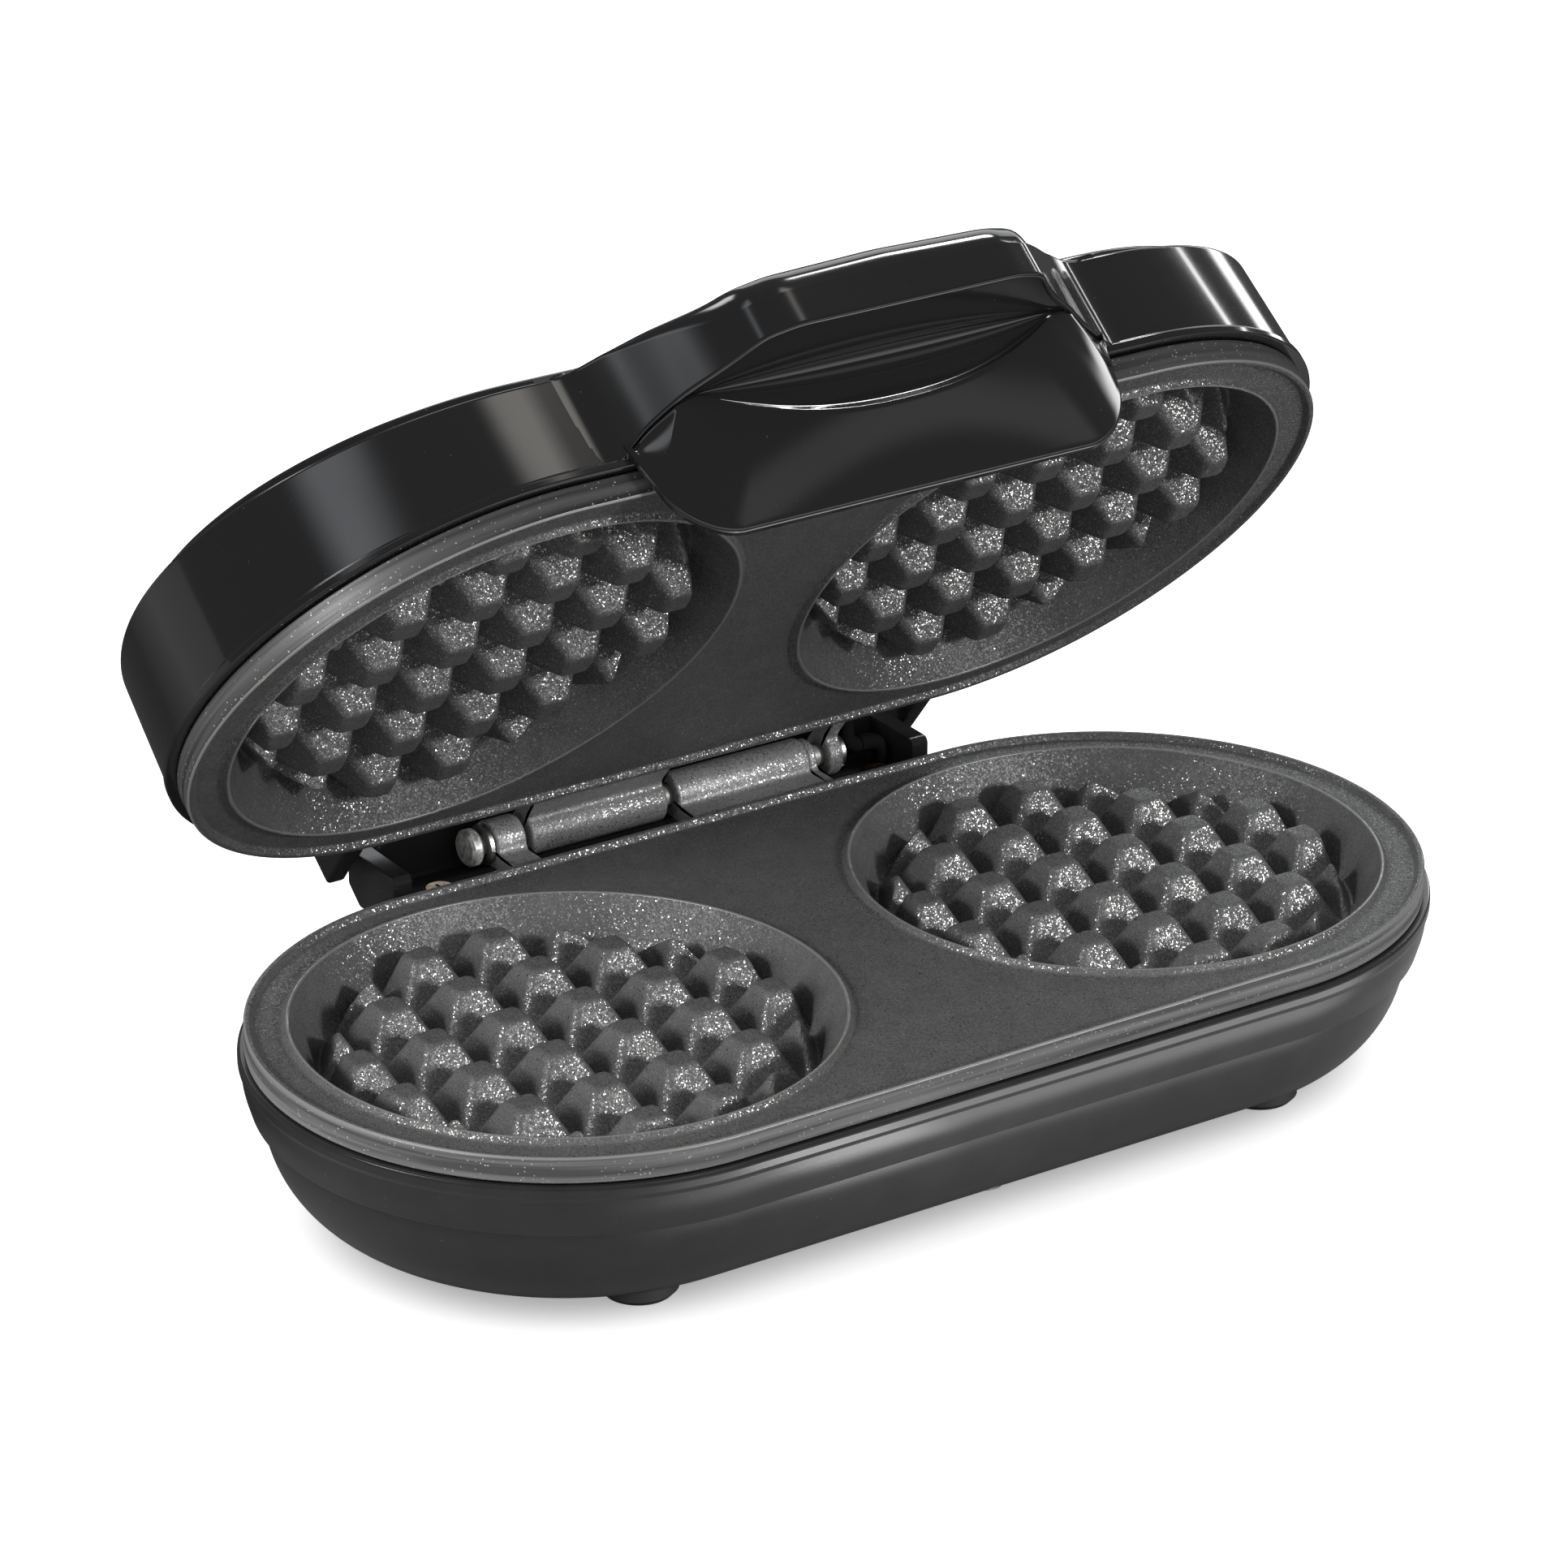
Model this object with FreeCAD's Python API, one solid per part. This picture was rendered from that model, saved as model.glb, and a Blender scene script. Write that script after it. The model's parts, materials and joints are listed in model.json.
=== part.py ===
import FreeCAD, Part
import math
import os
from FreeCAD import Vector as V

# Double waffle maker with its lid standing part open.  Millimetres, +Z up.
# X runs along the two moulds, the handle is at -Y and the hinge at +Y.  The origin is on the
# table, below the middle of the lower plate.  Base pieces are drawn with z = 0 on the plane
# where the plates meet, lid pieces as if closed with z = height above that plane.

# ---------------------------------------------------------------- driving dimensions
MOULD_X = 60.9          # mould centre from the middle of the plate
MATE_Z = 38.5           # height of the mating plane above the table
MATE_GAP = 0.3          # gap left between the two closed plates
LID_OPEN_DEG = 51.4     # lid angle in the modelled pose
HINGE_Y = 69.6          # hinge axis behind the middle of the plate

RIM_R = 58.4            # outer radius of the plate's ends
RIM_W = 3.2             # width of the raised rim
BAND_H = 5.1            # height of the machined outer band
DECK_DROP = 1.3         # deck below the mating plane
DECK_T = 3.0            # deck thickness
BEAD_R = 50.3           # inner radius of the bead around each mould
BEAD_W = 2.4
MOULD_DEPTH = 10.3      # mould floor below the mating plane
MOULD_T = 2.5           # casting thickness under the mould floor
MOULD_FLOOR_R = 45.2

POST_PITCH = 15.65
POSTS_PER_SIDE = 6
POST_TOP_DROP = 2.3     # post tops below the mating plane
POST_TOP_HALF = 3.0     # half width of a post's flat top
POST_SLOPE = 0.52       # sideways growth of a post per millimetre of depth
POST_TRIM_R = 42.0      # radius that trims the outer posts at their tops
POST_TRIM_SLOPE = 0.3

BARREL_R = 4.4          # hinge barrels
COLLAR_R = 3.9
PIN_R = 2.2
PIN_CLEAR = 0.05        # radial running clearance of the pin
PIN_HEAD_R = 3.65
PIN_HEAD_T = 2.5
CLIP_T = 0.8
CLIP_R = 3.5
SIDE_GAP = 0.3          # free space beside things that turn
LOWER_EAR = (-36.2, -29.6)      # X spans of the hinge lugs
UPPER_BARREL = (-28.4, 2.2)
LOWER_BARREL = (4.6, 35.1)
LOWER_COLLAR = (35.1, 37.1)
UPPER_EAR = (39.7, 43.0)
WEB_T = 3.5             # web between a lug and the plate
WEB_DROP = 0.9

WALL = 2.3              # moulded wall of casing and lid
LIP_R = 59.7            # outer radius of the casing's lip
BELT_R = 57.7           # foot of the casing's upper wall
BELT_Z = 15.8           # that foot below the mating plane
BOWL_R = 55.65          # bowl under the belt
BOWL_FLAT_R = 39.9
BOWL_DEPTH = 34.3       # flat bottom below the mating plane
BOWL_FULLNESS = 0.669   # how square the bowl's bend is (0.55 is round)
FOOT_R = 7.3
FOOT_X, FOOT_Y = 69.0, 35.7

HOUSING_HALF = 61.0     # rear hinge housing
HOUSING_FRONT_Y = 62.0
HOUSING_REAR_Y = 79.5
HOUSING_TOP = 1.6
HOUSING_BOTTOM = -9.2
CHEEK_T = 4.0
HOUSING_SWEEP_R = 11.4  # radius that the lid keeps clear around the hinge axis
TAB_CLEAR = 2.0         # lid cut-out beyond the housing, at each end

LID_LIP_R = 60.3
LID_MID_R, LID_MID_Z = 59.2, 22.0
LID_TOP_R = 58.1
LID_TOP = 30.3          # roof height on the centre line
ARCH_R = 411.0          # radius of the roof's gentle arch, front to back
COVER_R = 54.6
COVER_TOP = 33.8
COVER_T = 2.0
COVER_LIFT = 0.2        # gap under the top cover's edge
TAB_HALF, TAB_REAR_Y = 72.0, 71.3

SHELF_Z = 11.3          # underside of the handle's finger shelf
SHELF_T = 2.0
SHELF_Y = -86.0
HANDLE_WALL = 2.2
SKIRT_Y = -60.5         # back face of the handle's skirt
POCKET_Y = -70.2        # back wall of the finger pocket
SKIRT_DROP = 13.0
SKIRT_T = 2.0
HANDLE_SCREW_X, HANDLE_SCREW_Z = 30.0, 10.1

ELEMENT_R = 3.2
ELEMENT_LOOP_R = 34.0
ELEMENT_GAP = 0.1
ELEMENT_LEG_X = 11.0    # where the two cold legs turn down
ELEMENT_BEND = 7.0
ELEMENT_LEG_END = 23.2
LEG_PIN = 2.4            # bare pin below each leg
CLAMP_X, CLAMP_IN = 54.9, 8.5    # saddles, and their screws inside the element's loop
TRAY_T = 0.6
TRAY_TOP = 20.9         # reflector tray, measured away from the mating plane
TRAY_R = 50.0
TRAY_RIM_H = 5.0
PLATE_SCREW_X, PLATE_SCREW_Y = MOULD_X, 44.0
PLATE_BOSS_R = 4.5
SCREW_R = 1.9
SCREW_FIT = 0.05        # radial room around a screw in its thread
SCREW_CLEAR = 0.3       # radial room around a screw in a clear hole
HEAD_R, HEAD_H = 3.5, 2.3
SMALL_SCREW_R, SMALL_HEAD_R, SMALL_HEAD_H = 1.45, 2.7, 1.6
THERMO_R, THERMO_H = 8.0, 4.0
THERMO_NECK_R, THERMO_NECK_H = 6.3, 6.0
THERMO_PAD_Z = 9.0
STRAP_HALF, STRAP_T = 13.5, 0.8
CORD_X, CORD_Z = 36.0, -23.5
CORD_IN_Y, CORD_OUT_Y = TRAY_R + 1.4, 58.2       # ends of the inlet's bush
CORD_R = 3.4            # bore left for the mains lead
GROMMET_R = 5.6
LEAD_R = 1.6
JUMPER_X = 49.4         # where the jumper lead's two halves meet on the hinge axis
JUMPER_BASE_X, JUMPER_LID_X = 55.0, 46.6
JUMPER_LID_DEG = 135.0

O = V(0, 0, 0)
X, Y, Z = V(1, 0, 0), V(0, 1, 0), V(0, 0, 1)
AXIS = V(0, HINGE_Y, 0)
MID_GAP = MATE_GAP / 2
FLOOR_BACK = MOULD_DEPTH + MOULD_T              # back of the mould floor
ELEMENT_Z = FLOOR_BACK + ELEMENT_GAP + ELEMENT_R
TRAY_BACK = TRAY_TOP + TRAY_T
PLATE_SCREWS = [(-PLATE_SCREW_X, 0), (PLATE_SCREW_X, 0), (0, -PLATE_SCREW_Y), (0, PLATE_SCREW_Y)]
FEET = [(sx * FOOT_X, sy * FOOT_Y) for sx in (-1, 1) for sy in (-1, 1)]
CLAMPS = [(sx * CLAMP_X, sy) for sx in (-1, 1) for sy in (-1, 1)]
LEGS = [-ELEMENT_LEG_X, ELEMENT_LEG_X]


# ---------------------------------------------------------------- shape helpers
def profile(points):
    """Face in the XZ plane through (radius, z) points."""
    corners = [V(r, 0, z) for r, z in points]
    return Part.Face(Part.makePolygon(corners + corners[:1]))


def stadium(face, half=MOULD_X):
    """Sweep a radius/z face round a stadium: two half turns joined by two straights."""
    front = face.rotated(O, Z, -90)
    end = front.revolve(O, Z, 180).translated(V(half, 0, 0))
    side = front.translated(V(-half, 0, 0)).extrude(V(2 * half, 0, 0))
    pieces = [end.rotated(O, Z, 180), side, side.rotated(O, Z, 180)]
    return end.fuse(pieces).removeSplitter()


def stadium_block(radius, z0, z1, half=MOULD_X):
    return stadium(profile([(0, z0), (radius, z0), (radius, z1), (0, z1)]), half)


def ring(points, x=0.0, y=0.0):
    """Turn a radius/z face round a vertical axis at x, y."""
    return profile(points).revolve(O, Z, 360).translated(V(x, y, 0))


def box(x0, x1, y0, y1, z0, z1):
    return Part.makeBox(x1 - x0, y1 - y0, z1 - z0, V(x0, y0, z0))


def rod(radius, start, end):
    return Part.makeCylinder(radius, (end - start).Length, start, end - start)


def post(radius, x, y, z0, z1):
    return rod(radius, V(x, y, min(z0, z1)), V(x, y, max(z0, z1)))


def prism_x(points, x0, x1):
    """Solid with the y/z outline given, from x0 to x1."""
    corners = [V(x0, y, z) for y, z in points]
    return Part.Face(Part.makePolygon(corners + corners[:1])).extrude(V(x1 - x0, 0, 0))


def section_loft(sections):
    """Solid through y/z outlines at rising x, with flat faces between them."""
    wires = []
    for x, points in sections:
        corners = [V(x, y, z) for y, z in points]
        wires.append(Part.makePolygon(corners + corners[:1]))
    return Part.makeLoft(wires, True, True)


def under_arch(top):
    """Everything that lies under the roof's arch, whose crest is at height top."""
    return rod(ARCH_R, V(-200, 0, top - ARCH_R), V(200, 0, top - ARCH_R))


def tube(points, radius, bend):
    """Round bar along straight runs joined by tangent arcs of one bend radius."""
    edges, last = [], points[0]
    for before, corner, after in zip(points, points[1:], points[2:]):
        a, b = (before - corner).normalize(), (after - corner).normalize()
        half = math.acos(max(-1.0, min(1.0, a.dot(b)))) / 2
        cut = bend / math.tan(half)
        middle = corner + (a + b).normalize() * (bend / math.sin(half) - bend)
        start, end = corner + a * cut, corner + b * cut
        edges += [Part.makeLine(last, start), Part.Arc(start, middle, end).toShape()]
        last = end
    edges.append(Part.makeLine(last, points[-1]))
    path = Part.Wire(edges)
    disc = Part.Wire(Part.makeCircle(radius, points[0], points[1] - points[0]))
    return path.makePipeShell([disc], True, True)


def screw(radius, head_r, head_h, seat, direction, length):
    """Pan head with a cross recess, its shank running from the seat along direction."""
    along = V(direction).normalize()
    shank = rod(radius, seat, seat + along * length)
    head = rod(head_r, seat - along * head_h, seat)
    turn = FreeCAD.Rotation(Z, -along)
    slots = []
    for size in ((1.2 * head_r, 0.22 * head_r), (0.22 * head_r, 1.2 * head_r)):
        slot = Part.makeBox(size[0], size[1], head_h, V(-size[0] / 2, -size[1] / 2, 0.45 * head_h))
        slot.Placement = FreeCAD.Placement(seat, turn)
        slots.append(slot)
    return shank.fuse(head).cut(slots)


def group(shapes):
    return Part.makeCompound(shapes)


def mirrored(shape):
    """A base piece turned over for the lid."""
    return shape.mirror(O, Z)


def base_place(shape):
    return shape.translated(V(0, 0, MATE_Z))


def lid_place(shape):
    return base_place(shape).rotated(V(0, HINGE_Y, MATE_Z), X, -LID_OPEN_DEG)


# ---------------------------------------------------------------- plates, drawn for the base
def mould_posts(cx):
    """Grid of tapered square posts, trimmed to leave a groove along the mould's wall."""
    depth = MOULD_DEPTH - POST_TOP_DROP + 0.4       # sunk a little into the floor
    foot = POST_TOP_HALF + POST_SLOPE * depth
    wires = []
    for half, z in ((foot, -POST_TOP_DROP - depth), (POST_TOP_HALF, -POST_TOP_DROP)):
        corners = [V(sx * half, sy * half, z) for sx, sy in ((-1, -1), (1, -1), (1, 1), (-1, 1))]
        wires.append(Part.makePolygon(corners + corners[:1]))
    single = Part.makeLoft(wires, True, True)
    last = (POSTS_PER_SIDE - 1) / 2
    places = [i - last for i in range(POSTS_PER_SIDE)]
    posts = [single.translated(V(i * POST_PITCH, j * POST_PITCH, 0))
             for i in places for j in places if abs(i) + abs(j) < 2 * last]
    base_r = POST_TRIM_R + POST_TRIM_SLOPE * depth
    trim = ring([(0, -POST_TOP_DROP - depth), (base_r, -POST_TOP_DROP - depth),
                 (POST_TRIM_R, -POST_TOP_DROP), (0, -POST_TOP_DROP)])
    return group(posts).common(trim).translated(V(cx, 0, 0))


def plate_casting():
    """Plate without its hinge lugs: rim, deck, two moulds, posts and screw bosses."""
    deck, back = -DECK_DROP, -DECK_DROP - DECK_T
    inner = RIM_R - RIM_W
    plate = stadium(profile([(0, back), (inner - 0.4, back), (inner, -BAND_H), (RIM_R - 0.4, -BAND_H),
                             (RIM_R, -0.8), (RIM_R - 0.6, -MID_GAP), (inner + 0.7, -MID_GAP),
                             (inner, deck), (0, deck)]))
    bead_top = -MID_GAP - 0.15
    cups, hollows, bosses, holes = [], [], [], []
    for cx in (-MOULD_X, MOULD_X):
        cups.append(ring([(0, -FLOOR_BACK), (MOULD_FLOOR_R + 1.8, -FLOOR_BACK), (BEAD_R + 2.6, back),
                          (BEAD_R + BEAD_W, deck), (BEAD_R + BEAD_W - 0.8, bead_top), (0, bead_top)], cx))
        hollows.append(ring([(0, -MOULD_DEPTH), (MOULD_FLOOR_R, -MOULD_DEPTH), (BEAD_R - 2.0, -4.0),
                             (BEAD_R, bead_top), (BEAD_R, 1), (0, 1)], cx))
    for x, y in PLATE_SCREWS:
        start = FLOOR_BACK if y == 0 else DECK_DROP + DECK_T
        bosses.append(post(PLATE_BOSS_R, x, y, -start + 0.5, -TRAY_TOP))
        holes.append(post(SCREW_R + SCREW_FIT, x, y, -TRAY_TOP - 1, -start - 1))
    for x, side in CLAMPS:
        y = side * (ELEMENT_LOOP_R - CLAMP_IN)
        bosses.append(post(3.4, x, y, -FLOOR_BACK + 0.5, -ELEMENT_Z))
        holes.append(post(SMALL_SCREW_R + SCREW_FIT, x, y, -ELEMENT_Z - 1, -FLOOR_BACK + 0.6))
    bosses.append(post(THERMO_R + 0.6, 0, 0, back + 0.5, -THERMO_PAD_Z))
    for x in (-STRAP_HALF, STRAP_HALF):
        bosses.append(post(3.2, x, 0, back + 0.5, -THERMO_PAD_Z - THERMO_H))
        holes.append(post(SMALL_SCREW_R + SCREW_FIT, x, 0, -THERMO_PAD_Z - THERMO_H - 1, back - 0.3))
    plate = plate.fuse(cups + bosses).cut(hollows + holes)
    posts = [s for cx in (-MOULD_X, MOULD_X) for s in mould_posts(cx).Solids]
    return plate.fuse(posts).removeSplitter()


def hinge_lug(span, radius):
    """Barrel or ear with the web that ties it to the plate's rim."""
    x0, x1 = span
    barrel = rod(radius, V(x0, HINGE_Y, 0), V(x1, HINGE_Y, 0))
    web = box(x0, x1, RIM_R - 1.2, HINGE_Y, -WEB_DROP - WEB_T, -WEB_DROP)
    bore = rod(PIN_R + PIN_CLEAR, V(x0 - 1, HINGE_Y, 0), V(x1 + 1, HINGE_Y, 0))
    return barrel.fuse(web), bore


def with_lugs(plate, lugs):
    solids, bores = zip(*[hinge_lug(span, radius) for span, radius in lugs])
    return plate.fuse(list(solids)).cut(list(bores)).removeSplitter()


def lower_waffle_plate():
    lugs = [(LOWER_EAR, BARREL_R), (LOWER_BARREL, BARREL_R), (LOWER_COLLAR, COLLAR_R)]
    return with_lugs(plate_casting(), lugs)


def upper_waffle_plate():
    """Same casting with its own lugs; the web turns over with it, the bores stay on the axis."""
    lugs = [(UPPER_BARREL, BARREL_R), (UPPER_EAR, BARREL_R)]
    return mirrored(with_lugs(plate_casting(), lugs))


# ---------------------------------------------------------------- heating, drawn for the base
def heating_element():
    """Sheathed tube round both moulds, with two legs that turn down at the rear."""
    half = MOULD_X + ELEMENT_LOOP_R
    r, z = ELEMENT_LOOP_R, -ELEMENT_Z
    leg, end = ELEMENT_LEG_X, -ELEMENT_LEG_END
    k = ELEMENT_BEND
    a = math.sqrt(0.5)

    def arc(p, q, s):
        return Part.Arc(V(*p), V(*q), V(*s)).toShape()

    edges = [
        Part.makeLine(V(leg, r, end), V(leg, r, z - k)),
        arc((leg, r, z - k), (leg + k - k * a, r, z - k + k * a), (leg + k, r, z)),
        Part.makeLine(V(leg + k, r, z), V(MOULD_X, r, z)),
        arc((MOULD_X, r, z), (half, 0, z), (MOULD_X, -r, z)),
        Part.makeLine(V(MOULD_X, -r, z), V(-MOULD_X, -r, z)),
        arc((-MOULD_X, -r, z), (-half, 0, z), (-MOULD_X, r, z)),
        Part.makeLine(V(-MOULD_X, r, z), V(-leg - k, r, z)),
        arc((-leg - k, r, z), (-leg - k + k * a, r, z - k + k * a), (-leg, r, z - k)),
        Part.makeLine(V(-leg, r, z - k), V(-leg, r, end)),
    ]
    disc = Part.Wire(Part.makeCircle(ELEMENT_R, V(leg, r, end), Z))
    sheath = Part.Wire(edges).makePipeShell([disc], True, True)
    pins = [post(1.2, x, r, end + 1.0, end - LEG_PIN) for x in LEGS]
    return sheath.fuse(pins)


def element_clamps():
    """Four saddles that hold the element up against the mould floors."""
    saddles, screws = [], []
    tab_t, width = 0.8, 8.0
    for x, side in CLAMPS:
        y, boss_y = side * ELEMENT_LOOP_R, side * (ELEMENT_LOOP_R - CLAMP_IN)
        left = V(x - width / 2, y, -ELEMENT_Z)
        right = V(x + width / 2, y, -ELEMENT_Z)
        saddle = rod(ELEMENT_R + 0.1 + tab_t, left, right).cut(rod(ELEMENT_R + 0.1, left, right))
        upper = box(x - width, x + width, y - 9, y + 9, -ELEMENT_Z, -ELEMENT_Z + 9)
        inner, outer = y - side * (ELEMENT_R + 0.3), boss_y - side * 4.0
        y0, y1 = min(inner, outer), max(inner, outer)
        tab = box(x - width / 2, x + width / 2, y0, y1, -ELEMENT_Z - tab_t, -ELEMENT_Z)
        hole = post(SMALL_SCREW_R + SCREW_CLEAR, x, boss_y, -ELEMENT_Z - 3, -ELEMENT_Z + 1)
        saddles.append(saddle.cut(upper).fuse(tab).cut(hole).removeSplitter())
        seat = V(x, boss_y, -ELEMENT_Z - tab_t)
        screws.append(screw(SMALL_SCREW_R, SMALL_HEAD_R, SMALL_HEAD_H - 0.3, seat, Z, 3.4))
    return group(saddles), group(screws)


def reflector():
    """Sheet tray under the element, nipped between the casing's posts and the plate's bosses."""
    r, t = TRAY_R, TRAY_T
    tray = stadium(profile([(0, -TRAY_BACK), (r + t, -TRAY_BACK), (r + t, -TRAY_TOP + TRAY_RIM_H),
                            (r, -TRAY_TOP + TRAY_RIM_H), (r, -TRAY_TOP), (0, -TRAY_TOP)]))
    holes = [post(SCREW_R + SCREW_CLEAR, x, y, -TRAY_BACK - 1, -TRAY_TOP + 1) for x, y in PLATE_SCREWS]
    holes += [post(ELEMENT_R + 1.0, x, ELEMENT_LOOP_R, -TRAY_BACK - 1, -TRAY_TOP + 1) for x in LEGS]
    holes.append(post(THERMO_NECK_R + 1.5, 0, 0, -TRAY_BACK - 1, -TRAY_TOP + 1))
    return tray.cut(holes)


def plate_screws(head_seat):
    """Four long screws from the moulding's posts into the plate."""
    screws = []
    for x, y in PLATE_SCREWS:
        start = FLOOR_BACK if y == 0 else DECK_DROP + DECK_T
        seat = head_seat(x, y)
        length = -start - 1.6 - seat.z
        screws.append(screw(SCREW_R, HEAD_R, HEAD_H, seat, Z, length))
    return group(screws)


# ---------------------------------------------------------------- thermostat and wiring
def thermostat():
    z = -THERMO_PAD_Z
    cup = post(THERMO_R, 0, 0, z, z - THERMO_H)
    neck = post(THERMO_NECK_R, 0, 0, z - THERMO_H, z - THERMO_H - THERMO_NECK_H)
    low = z - THERMO_H - THERMO_NECK_H
    blades = [box(x - 0.4, x + 0.4, -2.4, 2.4, low - 5.5, low + 0.5) for x in (-3.5, 3.5)]
    return cup.fuse([neck] + blades).removeSplitter()


def thermostat_strap():
    z = -THERMO_PAD_Z - THERMO_H
    strap = box(-STRAP_HALF - 4, STRAP_HALF + 4, -4.5, 4.5, z - STRAP_T, z)
    eye = post(THERMO_NECK_R + 2.6, 0, 0, z, z - STRAP_T)
    holes = [post(THERMO_NECK_R + 0.2, 0, 0, z - 2, z + 1)]
    holes += [post(SMALL_SCREW_R + 0.2, x, 0, z - 2, z + 1) for x in (-STRAP_HALF, STRAP_HALF)]
    return strap.fuse(eye).cut(holes).removeSplitter()


def thermostat_screws():
    z = -THERMO_PAD_Z - THERMO_H - STRAP_T
    return group([screw(SMALL_SCREW_R, SMALL_HEAD_R, SMALL_HEAD_H, V(x, 0, z), Z, 6.0)
                  for x in (-STRAP_HALF, STRAP_HALF)])


def thermal_fuse():
    """Sleeved fuse lying against the tray."""
    z = -TRAY_BACK - 2.3
    sleeve = rod(2.2, V(-44, -16, z), V(-22, -16, z))
    ends = [rod(0.8, V(-48, -16, z), V(-44, -16, z)), rod(0.8, V(-22, -16, z), V(-18, -16, z))]
    return sleeve.fuse(ends).removeSplitter()


BLOCK = (20.0, 44.0, 8.0, 20.0)         # terminal block's plan
CASING_FLOOR = -BOWL_DEPTH + WALL
BLOCK_TOP = CASING_FLOOR + 7.5


def terminal_block():
    x0, x1, y0, y1 = BLOCK
    block = box(x0, x1, y0, y1, CASING_FLOOR, BLOCK_TOP)
    pitch = (x1 - x0) / 3
    cuts = []
    for i in range(3):
        x = x0 + (i + 0.5) * pitch
        cuts.append(rod(1.9, V(x, y0 - 1, BLOCK_TOP - 3.6), V(x, y1 + 1, BLOCK_TOP - 3.6)))
        cuts.append(post(1.6, x, (y0 + y1) / 2, BLOCK_TOP - 3.6, BLOCK_TOP + 1))
    for i in (1, 2):
        x = x0 + i * pitch
        cuts.append(box(x - 0.6, x + 0.6, y0 - 1, y1 + 1, BLOCK_TOP - 1.2, BLOCK_TOP + 1))
    return block.cut(cuts)


def terminal_screws():
    x0, x1, y0, y1 = BLOCK
    pitch = (x1 - x0) / 3
    return group([screw(1.0, 1.5, 1.1, V(x0 + (i + 0.5) * pitch, (y0 + y1) / 2, BLOCK_TOP - 1.4),
                        -Z, 1.6) for i in range(3)])


def lower_wires():
    """Leads from the block to the element legs, the thermostat and the fuse."""
    x0, x1, y0, y1 = BLOCK
    pitch = (x1 - x0) / 3
    z = BLOCK_TOP - 3.6
    first, second, third = [x0 + (i + 0.5) * pitch for i in range(3)]
    leg_z = -ELEMENT_LEG_END - 1.4
    low = -THERMO_PAD_Z - THERMO_H - THERMO_NECK_H - 5.0
    fuse_z = -TRAY_BACK - 2.3
    r = 1.1
    runs = [
        [V(first, y1 - 3, z), V(first, y1 + 6, z), V(ELEMENT_LEG_X + 2.4, ELEMENT_LOOP_R - 5.5, leg_z),
         V(ELEMENT_LEG_X + 1.9, ELEMENT_LOOP_R - 1.6, leg_z)],
        [V(first, y0 + 3, z), V(first, y0 - 4, z), V(12, -1, low), V(4.6, 0, low)],
        [V(-4.6, 0, low), V(-12, 0, low), V(-14, -10, fuse_z - 1), V(-16.8, -16, fuse_z)],
        [V(-49.2, -16, fuse_z), V(-54, -13, fuse_z), V(-40, 22, leg_z),
         V(-ELEMENT_LEG_X - 2.6, ELEMENT_LOOP_R - 0.5, leg_z)],
    ]
    return group([tube(run, r, 2.6) for run in runs])


# ---------------------------------------------------------------- base mouldings
def bowl_curve(flat_r, wall_r, bottom, top):
    """Bend from the flat bottom up to the belt, nearly square."""
    k = BOWL_FULLNESS
    poles = [V(flat_r, 0, bottom), V(flat_r + k * (wall_r - flat_r), 0, bottom),
             V(wall_r, 0, top - k * (top - bottom)), V(wall_r, 0, top)]
    curve = Part.BezierCurve()
    curve.setPoles(poles)
    return curve.toShape()


def bowl_face(inset):
    """Radius/z face of the casing, the outer one or the hollow inside it."""
    bottom = -BOWL_DEPTH + inset
    step_z = -BELT_Z - 0.2
    lip_top = -BAND_H - 0.3 + (1.0 if inset else 0.0)
    lip_r = LIP_R - inset
    curve = bowl_curve(BOWL_FLAT_R - 0.4 * inset, BOWL_R - inset, bottom, step_z)
    rest = [V(BOWL_R - inset, 0, step_z), V(BELT_R - inset, 0, -BELT_Z), V(lip_r - 0.5, 0, -8.0),
            V(lip_r, 0, -7.2), V(lip_r, 0, -6.2), V(lip_r - 0.6, 0, lip_top), V(0, 0, lip_top),
            V(0, 0, bottom), V(BOWL_FLAT_R - 0.4 * inset, 0, bottom)]
    return Part.Face(Part.Wire([curve] + Part.makePolygon(rest).Edges))


def housing_block():
    """Rear block that the hinge lies in; its lower edge is bevelled."""
    bevel = [(HOUSING_REAR_Y - 4.0, HOUSING_BOTTOM), (HOUSING_REAR_Y, HOUSING_BOTTOM + 3.5)]
    lip = -BAND_H - 0.3
    outline = [(RIM_R - 1.0, HOUSING_BOTTOM)] + bevel + [
        (HOUSING_REAR_Y, HOUSING_TOP), (HOUSING_FRONT_Y, HOUSING_TOP), (HOUSING_FRONT_Y, lip),
        (RIM_R - 1.0, lip)]
    block = prism_x(outline, -HOUSING_HALF, HOUSING_HALF)
    rounded = [e for e in block.Edges
               if e.BoundBox.XLength > HOUSING_HALF and e.BoundBox.ZMin > HOUSING_TOP - 0.1]
    return block.makeFillet(1.4, rounded)


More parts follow.
